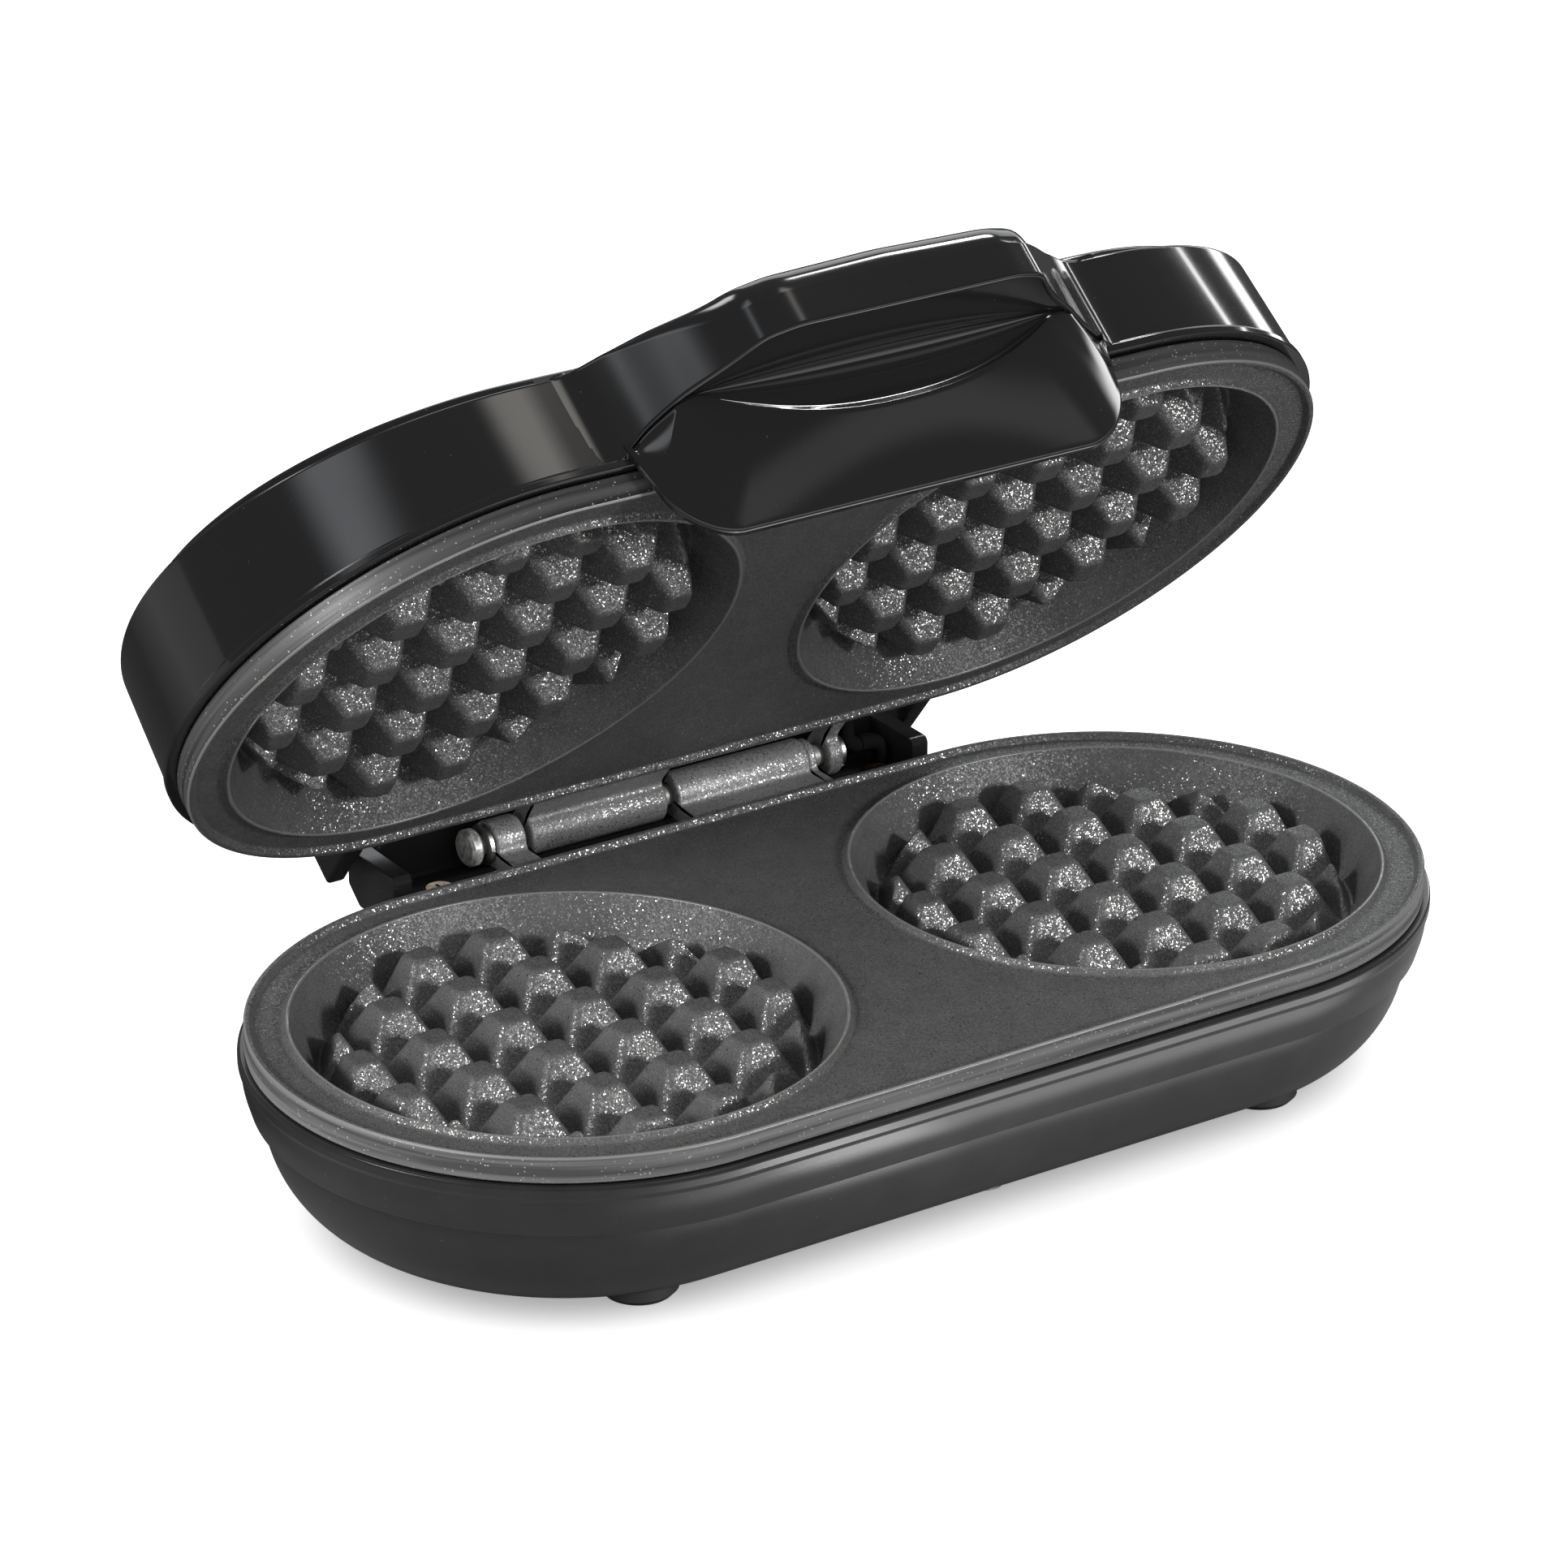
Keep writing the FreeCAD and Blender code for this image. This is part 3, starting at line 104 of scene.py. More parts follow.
def smooth_min(a, b, blend):
    """Lower of two heights, rounded where they meet."""
    share = np.clip(0.5 + 0.5 * (b - a) / blend, 0.0, 1.0)
    return b * (1 - share) + a * share - blend * share * (1 - share)


def smooth_max(a, b, blend):
    return -smooth_min(-a, -b, blend)


def eased(x, knots, values, spread):
    """Values at the knots joined by lines, then rounded over a distance of about spread."""
    offsets = np.linspace(-2.0, 2.0, 17)
    weights = np.exp(-0.5 * offsets ** 2)
    weights /= weights.sum()
    return sum(w * np.interp(x + o * spread, knots, values) for w, o in zip(weights, offsets))


def rounded_path(corners, steps=5):
    """Points along a polyline of (u, v, radius) corners, each turned into an arc.

    A point is held on both sides of every arc, so that the flats beside it shade flat.
    """
    path = [np.array(corners[0][:2], float)]
    for before, corner, after in zip(corners, corners[1:], corners[2:]):
        here = np.array(corner[:2], float)
        a = np.array(before[:2], float) - here
        b = np.array(after[:2], float) - here
        room = 0.48 * min(np.linalg.norm(a), np.linalg.norm(b))
        a, b = a / np.linalg.norm(a), b / np.linalg.norm(b)
        half = math.acos(np.clip(a @ b, -1.0, 1.0)) / 2
        cut = min(corner[2] / math.tan(half), room)
        radius = cut * math.tan(half)
        middle = here + (a + b) / np.linalg.norm(a + b) * radius / math.sin(half)
        start, end = here + a * cut - middle, here + b * cut - middle
        swing = math.pi - 2 * half
        side = np.sign(start[0] * end[1] - start[1] * end[0])
        beside = cut + min(HOLD, 0.04 * room + 1e-7)
        path.append(here + a * beside)
        for t in np.linspace(0, swing, steps + 1):
            c, s = math.cos(t), side * math.sin(t)
            path.append(middle + np.array([c * start[0] - s * start[1], s * start[0] + c * start[1]]))
        path.append(here + b * beside)
    path.append(np.array(corners[-1][:2], float))
    return np.array(path)


def stadium(radius, side_steps=SIDE_STEPS, end_steps=END_STEPS):
    """Two half circles joined by two straights, anticlockwise from the front of the right end."""
    turn = np.linspace(-0.5, 0.5, end_steps + 1) * math.pi
    end = np.column_stack([MOULD_X + radius * np.cos(turn), radius * np.sin(turn)])
    along = np.linspace(MOULD_X, -MOULD_X, side_steps + 1)[1:-1]
    rear = np.column_stack([along, np.full(len(along), radius)])
    return np.vstack([end, rear, -end, -rear])


def circle(radius, steps, x=0.0):
    turn = np.linspace(0, 2 * math.pi, steps, endpoint=False)
    return np.column_stack([x + radius * np.cos(turn), radius * np.sin(turn)])


def lifted(outline, height):
    """Plan points with a height, one for all of them or one for each."""
    return np.column_stack([outline, np.broadcast_to(height, len(outline))])


def at_x(x, section):
    """The (y, z) points of a section, placed at x."""
    return np.column_stack([np.full(len(section), x), section])


def stations(x0, x1, ends):
    """Places from x0 to x1 and the inset at each, from the (distance, inset) pairs of one end."""
    return [(x0 + dx, inset) for dx, inset in ends] + [(x1 - dx, inset) for dx, inset in ends[::-1]]


# ---------------------------------------------------------------- meshes
class Skin:
    """Points and faces gathered row by row, each face with the number of its finish."""

    def __init__(self):
        self.points, self.faces, self.finishes, self.count = [], [], [], 0

    def row(self, points):
        self.points.append(np.asarray(points, float))
        self.count += len(points)
        return list(range(self.count - len(points), self.count))

    def face(self, corners, finish=0):
        self.faces.append(corners)
        self.finishes.append(finish)

    def bridge(self, low, high, finish=0):
        """Quads between two closed rows that have as many points."""
        for i in range(len(low)):
            j = (i + 1) % len(low)
            self.face((low[i], low[j], high[j], high[i]), finish)

    def rows(self, point_rows, finish=lambda i: 0):
        """Closed rows of points with quads between them; finish gives a number for each gap."""
        indices = [self.row(points) for points in point_rows]
        for i, (low, high) in enumerate(zip(indices, indices[1:])):
            self.bridge(low, high, finish(i))
        return indices

    def cap(self, rows):
        """One face across the first row and one across the last."""
        self.face(tuple(rows[0]))
        self.face(tuple(rows[-1]))

    def fill(self, loops, keep, height=0.0, free=None):
        """Triangles between closed rows, and through free plan points given their heights."""
        plan = [np.vstack(self.points)[loop][:, :2] for loop in loops]
        owners = [i for loop in loops for i in loop]
        edges, start = [], 0
        for loop in loops:
            edges += [(start + i, start + (i + 1) % len(loop)) for i in range(len(loop))]
            start += len(loop)
        if free is not None:
            owners += self.row(lifted(free, height))
            plan.append(free)
        plan = np.vstack(plan) / MM
        made = delaunay_2d_cdt([Vector(p) for p in plan], edges, [], 0, 1e-5)
        if len(made[0]) != len(plan):
            raise RuntimeError("the outline points to fill between don't keep apart")
        source = [owners[old[0]] for old in made[3]]
        corners = np.array([p[:] for p in made[0]])
        for triangle in made[2]:
            x, y = corners[list(triangle)].mean(0) * MM
            if keep(x, y):
                self.face(tuple(source[i] for i in triangle))

    def mesh(self, name):
        mesh = bpy.data.meshes.new(name)
        mesh.from_pydata(np.vstack(self.points).tolist(), [], [tuple(map(int, f)) for f in self.faces])
        mesh.polygons.foreach_set("material_index", self.finishes)
        return mesh


def capped(point_rows, name):
    """Mesh through rows of points, with a face across the first and the last."""
    skin = Skin()
    skin.cap(skin.rows(point_rows))
    return skin.mesh(name)


def looped(point_rows, name):
    """Mesh through rows of points, with the last row joined back to the first."""
    skin = Skin()
    rows = skin.rows(point_rows)
    skin.bridge(rows[-1], rows[0])
    return skin.mesh(name)


@contextmanager
def opened(mesh):
    """A mesh as a bmesh, written back at the end."""
    work = bmesh.new()
    work.from_mesh(mesh)
    yield work
    work.to_mesh(mesh)
    work.free()


def outward(mesh):
    """The same mesh with every face turned outwards."""
    with opened(mesh) as work:
        bmesh.ops.recalc_face_normals(work, faces=work.faces)
    return mesh


def tidy(mesh, sharp_degrees):
    """Weld doubles, turn every face outwards and shade smooth up to the given angle."""
    with opened(mesh) as work:
        bmesh.ops.remove_doubles(work, verts=work.verts, dist=1e-7)
        bmesh.ops.dissolve_degenerate(work, edges=work.edges, dist=1e-7)
        bmesh.ops.recalc_face_normals(work, faces=work.faces)
    mesh.polygons.foreach_set("use_smooth", [True] * len(mesh.polygons))
    mesh.set_sharp_from_angle(angle=math.radians(sharp_degrees))
    mesh.update()


def make_piece(name, mesh, finishes, body, nodes, place, sharp_degrees=32, flat=False):
    """Object with its finishes that rides on a body and stands for CAD nodes."""
    mesh.transform(place)
    tidy(mesh, sharp_degrees)
    for finish in finishes:
        mesh.materials.append(FINISHES[finish]())
    piece = bpy.data.objects.new(name, mesh)
    bpy.context.scene.collection.objects.link(piece)
    if flat:
        piece.modifiers.new("flats", "WEIGHTED_NORMAL").keep_sharp = True
    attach(piece, body)
    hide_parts(*nodes)


def joined(meshes, name):
    """One mesh out of several, with their faces' finishes kept."""
    whole = bpy.data.meshes.new(name)
    with opened(whole) as work:
        for mesh in meshes:
            work.from_mesh(mesh)
    return whole


def carved(mesh, cutters, operation="DIFFERENCE"):
    """Mesh with each cutter mesh taken away, or added."""
    target = bpy.data.objects.new("carving", mesh)
    tools = [bpy.data.objects.new("cutter", cutter) for cutter in cutters]
    for item in [target] + tools:
        bpy.context.scene.collection.objects.link(item)
    for tool in tools:
        modifier = target.modifiers.new("cut", "BOOLEAN")
        modifier.operation, modifier.solver, modifier.object = operation, "EXACT", tool
    bpy.context.view_layer.update()
    ready = target.evaluated_get(bpy.context.evaluated_depsgraph_get())
    result = bpy.data.meshes.new_from_object(ready)
    for item in [target] + tools:
        bpy.data.objects.remove(item)
    return result


def turned_solid(profile, steps, centre, axis="Z"):
    """Closed solid turned from (radius, height) points; the first and last radii are capped."""
    ring = circle(1.0, steps)
    mesh = capped([lifted(ring * r, h) for r, h in profile], "turned")
    degrees, about = {"X": (90, "Y"), "Y": (-90, "X"), "Z": (0, "Z")}[axis]
    mesh.transform(Matrix.Rotation(math.radians(degrees), 4, about))
    mesh.transform(Matrix.Translation(centre))
    return outward(mesh)


def slab(plan, low, high, edge=0.0):
    """Block over a plan outline, with its upper and lower edges rounded by a bevel."""
    mesh = outward(capped([lifted(np.array(plan), low), lifted(np.array(plan), high)], "slab"))
    if edge:
        with opened(mesh) as work:
            bmesh.ops.bevel(work, geom=work.edges[:], offset=edge, segments=4, profile=0.5,
                            affect="EDGES", clamp_overlap=True)
    return mesh


def rectangle(x0, x1, y0, y1):
    return [(x0, y0), (x1, y0), (x1, y1), (x0, y1)]


# ---------------------------------------------------------------- node trees
class Tree:
    """Short way to write a node tree."""

    def __init__(self, tree):
        self.tree = tree

    def add(self, kind, **values):
        """Node of a kind; names with a capital letter are inputs, the others are settings."""
        node = self.tree.nodes.new(kind)
        for name, value in values.items():
            if name[0].islower():
                setattr(node, name, value)
        self.wire(node, **{name: value for name, value in values.items() if not name[0].islower()})
        return node

    def wire(self, node, **values):
        """Join sockets to a node's inputs, or set constants on them."""
        for name, value in values.items():
            self.feed(node.inputs[name.replace("_", " ")], value)

    def feed(self, socket, value):
        if isinstance(value, bpy.types.NodeSocket):
            self.tree.links.new(value, socket)
        else:
            socket.default_value = value

    def math(self, operation, a, b=0.0, clamp=False):
        return self.operate("ShaderNodeMath", operation, (a, b), use_clamp=clamp).outputs[0]

    def vector(self, operation, *terms):
        return self.operate("ShaderNodeVectorMath", operation, terms)

    def operate(self, kind, operation, terms, **settings):
        """Node that works out a value from its first inputs."""
        node = self.add(kind, operation=operation, **settings)
        for socket, term in zip(node.inputs, terms):
            self.feed(socket, term)
        return node

    def blend(self, share, a, b):
        """Colour between a and b."""
        node = self.add("ShaderNodeMix", data_type="RGBA")
        self.wire(node, Factor=share, A=a, B=b)
        return node.outputs["Result"]

    def span(self, value, low, high, to_low=0.0, to_high=1.0):
        """Value mapped from one range to another and kept in it."""
        node = self.add("ShaderNodeMapRange", Value=value, From_Min=low, From_Max=high,
                        To_Min=to_low, To_Max=to_high)
        return node.outputs[0]

    def here(self):
        """Coordinates on the object."""
        return self.add("ShaderNodeTexCoord").outputs["Object"]

    def noise(self, scale, detail, where, roughness=0.5):
        node = self.add("ShaderNodeTexNoise", Scale=scale, Detail=detail, Roughness=roughness, Vector=where)
        return node.outputs["Fac"]

    def group(self, builder, **values):
        """Outputs of a node group."""
        return self.add("ShaderNodeGroup", node_tree=builder(), **values).outputs


def new_group(name, inputs, outputs):
    """Empty node group with named sockets, its tree, its input sockets and its output node."""
    group = bpy.data.node_groups.new(name, "ShaderNodeTree")
    for label, default in inputs.items():
        kind = "NodeSocketVector" if isinstance(default, tuple) else "NodeSocketFloat"
        socket = group.interface.new_socket(label, in_out="INPUT", socket_type=kind)
        socket.default_value = default
    for label in outputs:
        group.interface.new_socket(label, in_out="OUTPUT", socket_type="NodeSocketFloat")
    tree = Tree(group)
    return group, tree, tree.add("NodeGroupInput").outputs, tree.add("NodeGroupOutput")


def once(builder):
    """Build a group or finish the first time that it is asked for, and hand it out after that."""
    made = {}

    def get():
        if "it" not in made:
            made["it"] = builder()
        return made["it"]
    return get


@once
def mica_flakes():
    """Bright flakes in a cast coating: a mask, and the height of the flakes, each tilted its own way."""
    group, t, given, out = new_group("Mica Flakes", {"Flake Size": 0.0003, "Amount": 0.2, "Tilt": 0.5},
                                     ("Flakes", "Height"))
    where = t.here()
    scale = t.math("DIVIDE", 1.0, given["Flake Size"])
    cells = t.add("ShaderNodeTexVoronoi", Vector=where, Scale=scale, Randomness=1.0).outputs
    pick = t.add("ShaderNodeSeparateColor", Color=cells["Color"]).outputs
    chosen = t.math("GREATER_THAN", pick[0], t.math("SUBTRACT", 1.0, given["Amount"]))
    strength = t.math("MULTIPLY", chosen, t.span(cells["Distance"], 0.35, 0.6, 1.0, 0.0))
    lean = t.vector("SUBTRACT", cells["Color"], (0.5, 0.5, 0.5)).outputs[0]
    reach = t.vector("SUBTRACT", where, cells["Position"]).outputs[0]
    height = t.vector("DOT_PRODUCT", lean, reach).outputs["Value"]
    t.wire(out, Flakes=t.math("MULTIPLY", strength, t.span(pick[1], 0.0, 1.0, 0.3, 1.0)),
           Height=t.math("MULTIPLY", height, given["Tilt"]))
    return group


@once
def moulding_skin():
    """Faint ripple and handling marks of a polished moulding: roughness, bump height and dust."""
    group, t, given, out = new_group("Moulding Skin", {"Roughness": 0.1, "Haze": 0.05},
                                     ("Roughness", "Height", "Dust"))
    where = t.here()
    haze = t.math("MULTIPLY", t.span(t.noise(34.0, 4.0, where, 0.6), 0.45, 0.75), given["Haze"])
    specks = t.add("ShaderNodeTexVoronoi", Vector=where, Scale=420.0, Randomness=1.0)
    lone = t.math("LESS_THAN", specks.outputs["Distance"], 0.05)
    t.wire(out, Roughness=t.math("ADD", given["Roughness"], haze), Height=t.noise(26.0, 1.0, where),
           Dust=t.math("MULTIPLY", lone, t.span(t.noise(60.0, 2.0, where), 0.5, 0.62)))
    return group


@once
def worn_edges():
    """Mask of rubbed edges, broken up so that it isn't an even line."""
    group, t, given, out = new_group("Worn Edges", {"Amount": 0.5}, ("Wear",))
    edge = t.span(t.add("ShaderNodeNewGeometry").outputs["Pointiness"], 0.52, 0.60)
    broken = t.span(t.noise(900.0, 3.0, t.here()), 0.4, 0.6)
    t.wire(out, Wear=t.math("MULTIPLY", t.math("MULTIPLY", edge, broken), given["Amount"]))
    return group


@once
def fine_grain():
    """Small even grain, for satin plastic, rubber and ceramic: bump height and a tone."""
    group, t, given, out = new_group("Fine Grain", {"Grain Size": 0.0004}, ("Height", "Tone"))
    where = t.here()
    scale = t.math("DIVIDE", 1.0, given["Grain Size"])
    t.wire(out, Height=t.noise(scale, 3.0, where),
           Tone=t.span(t.noise(t.math("MULTIPLY", scale, 0.06), 4.0, where), 0.3, 0.7))
    return group


@once
def turning_lines():
    """Lines that a tool leaves along a machined or drawn face: bump height and a tone."""
    group, t, given, out = new_group("Turning Lines", {"Pitch": 0.0004, "Run": (1, 1, 40), "Turn": 0.0},
                                     ("Height", "Tone"))
    turned = t.add("ShaderNodeVectorRotate", rotation_type="X_AXIS", Vector=t.here(), Angle=given["Turn"])
    stretched = t.vector("MULTIPLY", turned.outputs[0], given["Run"]).outputs[0]
    scale = t.math("DIVIDE", 0.02, given["Pitch"])
    t.wire(out, Height=t.noise(scale, 4.0, stretched, 0.65),
           Tone=t.noise(t.math("MULTIPLY", scale, 0.35), 3.0, stretched))
    return group


# ---------------------------------------------------------------- finishes
class Finish(Tree):
    """Tree of a new material with a Principled shader and a bump node."""

    def __init__(self, name):
        self.material = bpy.data.materials.new(name)
        self.material.use_nodes = True
        super().__init__(self.material.node_tree)
        self.shader = self.tree.nodes["Principled BSDF"]
        self.bump = self.add("ShaderNodeBump")
        self.tree.links.new(self.bump.outputs[0], self.shader.inputs["Normal"])

    def shade(self, **values):
        self.wire(self.shader, **values)

    def relief(self, height, strength, distance):
        self.wire(self.bump, Height=height, Strength=strength, Distance=distance)


def material_maker(build):
    """Turn a function that fills a material's tree into a maker of it, run at most once for each name."""
    def maker(name, *values):
        @once
        def get():
            t = Finish(name)
            build(t, *values)
            return t.material
        return get
    return maker


def colours():
    return bpy.context.scene.waffle_finishes


def opaque(colour, share=1.0):
    """A colour, or a share of it, with full alpha."""
    return tuple(c * share for c in colour) + (1.0,)


def grey(value):
    return opaque((value, value, value))


@material_maker
def piano_black(t):
    """High-gloss black of the lid, with a clear skin, faint ripple and a little dust."""
    skin = t.group(moulding_skin, Roughness=0.10, Haze=0.05)
    t.shade(Base_Color=t.blend(skin["Dust"], opaque(colours().lid_black), grey(0.10)),
            Roughness=skin["Roughness"], IOR=1.5, Coat_Weight=0.35, Coat_Roughness=0.03)
    t.relief(skin["Height"], 0.05, 0.0006)


@material_maker
def satin_black(t):
    """Slightly softer black of the base casing."""
    skin = t.group(moulding_skin, Roughness=0.19, Haze=0.06)
    grain = t.group(fine_grain, Grain_Size=0.0005)
    black = colours().casing_black
    tone = t.blend(grain["Tone"], opaque(black), opaque(black, 1.25))
    t.shade(Base_Color=t.blend(skin["Dust"], tone, grey(0.12)), Roughness=skin["Roughness"], IOR=1.5)
    t.relief(grain["Height"], 0.06, 0.0002)


@material_maker
def nonstick_coat(t, share):
    """Charcoal non-stick coating over cast aluminium, with its share of bright mica flakes."""
    base, size = colours().coating, colours().flake_size
    fine = t.group(mica_flakes, Flake_Size=size, Amount=0.40 * share, Tilt=0.5)
    coarse = t.group(mica_flakes, Flake_Size=size * 1.9, Amount=0.035 * share, Tilt=0.5)
    grain = t.group(fine_grain, Grain_Size=0.00035)
    wear = t.group(worn_edges, Amount=0.4)
    flakes = t.math("MAXIMUM", fine["Flakes"], coarse["Flakes"], True)
    tone = t.blend(grain["Tone"], opaque(base, 0.8), opaque(base))
    tone = t.blend(wear["Wear"], tone, (0.11, 0.11, 0.105, 1))
    t.shade(Base_Color=t.blend(flakes, tone, (0.44, 0.44, 0.43, 1)), IOR=1.5,
            Metallic=t.span(flakes, 0.0, 0.6, 0.1, 1.0), Roughness=t.span(flakes, 0.0, 0.6, 0.42, 0.3))
    t.relief(fine["Height"], 1.0, 1.0)


@material_maker
def turned_band(t, turn, pale):
    """Bare face that is turned along the plate's outer edge, at the body's own angle; pale sets its tone,
    lowered on the lid as painted shade.
    """
    lines = t.group(turning_lines, Pitch=0.0005, Run=(1, 1, 45), Turn=turn)
    flakes = t.group(mica_flakes, Flake_Size=0.0003, Amount=0.03, Tilt=0.6)
    tone = t.blend(t.span(lines["Tone"], 0.36, 0.66), grey(0.25 * pale), grey(pale))
    t.shade(Base_Color=t.blend(flakes["Flakes"], tone, (0.5, 0.5, 0.48, 1)),
            Metallic=t.span(lines["Tone"], 0.0, 1.0, 0.4, 0.7),
            Roughness=t.span(lines["Tone"], 0.0, 1.0, 0.5, 0.34))
    t.relief(lines["Height"], 0.4, 0.0001)


@material_maker
def cast_lug(t):
    """Brighter cast face of the hinge lugs, full of fine flakes."""
    flakes = t.group(mica_flakes, Flake_Size=0.0003, Amount=0.3, Tilt=0.3)
    grain = t.group(fine_grain, Grain_Size=0.0005)
    tone = t.blend(grain["Tone"], (0.15, 0.152, 0.15, 1), (0.2, 0.202, 0.2, 1))
    t.shade(Base_Color=t.blend(flakes["Flakes"], tone, (0.5, 0.5, 0.49, 1)),
            Metallic=t.span(flakes["Flakes"], 0.0, 0.6, 0.25, 1.0),
            Roughness=t.span(flakes["Flakes"], 0.0, 0.6, 0.45, 0.34))
    t.relief(flakes["Height"], 1.0, 1.0)


@material_maker
def metal(t, colour, roughness, pitch=0.0004, run=(1, 1, 1), share=1.0):
    """Plain metal with drawing lines and rubbed edges."""
    lines = t.group(turning_lines, Pitch=pitch, Run=run)
    wear = t.group(worn_edges, Amount=0.6)
    tone = t.blend(lines["Tone"], opaque(colour, 0.72), opaque(colour))
    t.shade(Base_Color=t.blend(wear["Wear"], tone, (0.9, 0.88, 0.85, 1)), Metallic=share,
            Roughness=t.span(lines["Tone"], 0.0, 1.0, roughness * 1.3, roughness))
    t.relief(lines["Height"], 0.25, 0.0001)


@material_maker
def plain_stuff(t, colour, roughness, grain=0.0005, relief=0.3, ior=1.5):
    """Matt stuff with a fine grain, such as rubber, ceramic or inner plastic."""
    skin = t.group(fine_grain, Grain_Size=grain)
    t.shade(Base_Color=t.blend(skin["Tone"], opaque(colour, 0.8), opaque(colour)), IOR=ior,
            Roughness=t.span(skin["Tone"], 0.0, 1.0, roughness, min(1.0, roughness * 1.2)))
    t.relief(skin["Height"], relief, 0.0001)


@material_maker
def lens(t, colour):
    """Clear tinted lamp lens with a little unevenness inside it."""
    skin = t.group(fine_grain, Grain_Size=0.0012)
    t.shade(Base_Color=t.blend(skin["Tone"], opaque(colour, 0.75), opaque(colour)), Roughness=0.12, IOR=1.5,
            Transmission_Weight=0.55, Coat_Weight=0.4, Coat_Roughness=0.05)
    t.relief(skin["Height"], 0.15, 0.0002)


@material_maker
def white_floor(t):
    """Pale studio floor with a trace of paper grain, darker in reflections than to the camera, where
    painted light and painted shade vary it by place.
    """
    grain = t.group(fine_grain, Grain_Size=0.002)
    path = t.add("ShaderNodeLightPath").outputs
    pale = t.blend(grain["Tone"], grey(0.86), grey(0.88))
    where = t.here()
    away = t.vector("LENGTH", where).outputs["Value"]
    place = t.add("ShaderNodeSeparateXYZ", Vector=where).outputs
    # painted shade in reflections: as seen in the gloss the floor is 0.255 close in front of the object and
    # goes dark far off and behind it
    near = t.math("MAXIMUM", t.span(away, 0.12, 0.4), t.span(place["Y"], 0.0, 0.06))
    gloss_floor_painted_light_and_shade = t.blend(near, grey(0.255), grey(0.015))
    # painted light in reflections: lighter far to the left
    gloss_floor_painted_light_and_shade = t.blend(t.span(place["X"], -0.2, -0.4), gloss_floor_painted_light_and_shade, grey(0.165))
    # painted light in reflections: much lighter far in front
    gloss_floor_painted_light_and_shade = t.blend(t.span(place["Y"], -0.3, -0.7), gloss_floor_painted_light_and_shade, grey(0.70))
    bounced = t.blend(path["Is Glossy Ray"], grey(0.32), gloss_floor_painted_light_and_shade)
    t.shade(Base_Color=t.blend(path["Is Camera Ray"], bounced, pale), Roughness=0.9, Emission_Strength=1.0,
            Emission_Color=t.blend(path["Is Camera Ray"], grey(0), grey(0.36)))
    t.relief(grain["Height"], 0.02, 0.0005)


FINISHES = {
    "casing_plastic": satin_black("satin_black"),
    "lid_plastic": piano_black("piano_black"),
    "nonstick_plate": nonstick_coat("nonstick_coat", 1.0),
    "nonstick_wall": nonstick_coat("nonstick_wall", 0.3),
    "rubbed_crest": metal("rubbed_crest", (0.26, 0.26, 0.25), 0.36, 0.0005, (6, 6, 6), 0.6),
    "machined_band": turned_band("machined_band", 0.0, 0.24),
    # painted shade: the lid's copy of the same turned band is given a darker tone, 0.10 against 0.24
    "machined_band_lid": turned_band("machined_band_lid", -OPEN_ANGLE, 0.10),
    "cast_lug": cast_lug("cast_lug"),
    "soft_rubber": plain_stuff("soft_rubber", (0.018, 0.018, 0.018), 0.62, 0.0006, 0.4),
    "brass_screw": metal("brass_screw", (0.62, 0.45, 0.20), 0.32),
    "heater_sheath": metal("heater_sheath", (0.22, 0.20, 0.17), 0.45, 0.0008),
    "reflector_sheet": metal("reflector_sheet", (0.70, 0.70, 0.69), 0.22, 0.0006, (1, 30, 30)),
    "plated_steel": metal("plated_steel", (0.63, 0.62, 0.60), 0.28),
    "hinge_steel": metal("hinge_steel", (0.26, 0.26, 0.25), 0.42, 0.0005, (40, 1, 1), 0.5),
    "thermostat_ceramic": plain_stuff("thermostat_ceramic", (0.72, 0.69, 0.62), 0.55, 0.0007),
    "inner_plastic": plain_stuff("inner_plastic", (0.66, 0.62, 0.52), 0.45),
    "fuse_sleeve": plain_stuff("fuse_sleeve", (0.74, 0.72, 0.66), 0.75, 0.0008, 0.6),
    "wire_cover": plain_stuff("wire_cover", (0.62, 0.60, 0.55), 0.5),
    "lead_sleeve": plain_stuff("lead_sleeve", (0.004, 0.004, 0.004), 0.8, 0.0009, 0.7, 1.15),
    "red_lens": lens("red_lens", (0.55, 0.02, 0.015)),
    "green_lens": lens("green_lens", (0.03, 0.36, 0.06)),
    "lamp_glass": lens("lamp_glass", (0.85, 0.72, 0.60)),
}


# ---------------------------------------------------------------- settings
def length(name, text, value):
    """Setting for a length, given in millimetres."""
    return FloatProperty(name=name, description=text, default=value * MM, unit="LENGTH", precision=5)


def number(name, text, value):
    return FloatProperty(name=name, description=text, default=value)


def angle(name, text, degrees):
    return FloatProperty(name=name, description=text, default=math.radians(degrees), subtype="ANGLE")


def colour(name, text, value):
    return FloatVectorProperty(name=name, description=text, default=value, subtype="COLOR",
                               size=3, min=0.0, max=1.0)


class WaffleFinishes(bpy.types.PropertyGroup):
    lid_black: colour("Lid black", "Colour under the lid's gloss", (0.013, 0.013, 0.0135))
    casing_black: colour("Casing black", "Colour of the base casing", (0.023, 0.023, 0.0235))
    coating: colour("Coating", "Colour of the non-stick coating", (0.070, 0.071, 0.070))
    flake_size: length("Flake size", "Width of the mica flakes", 0.28)


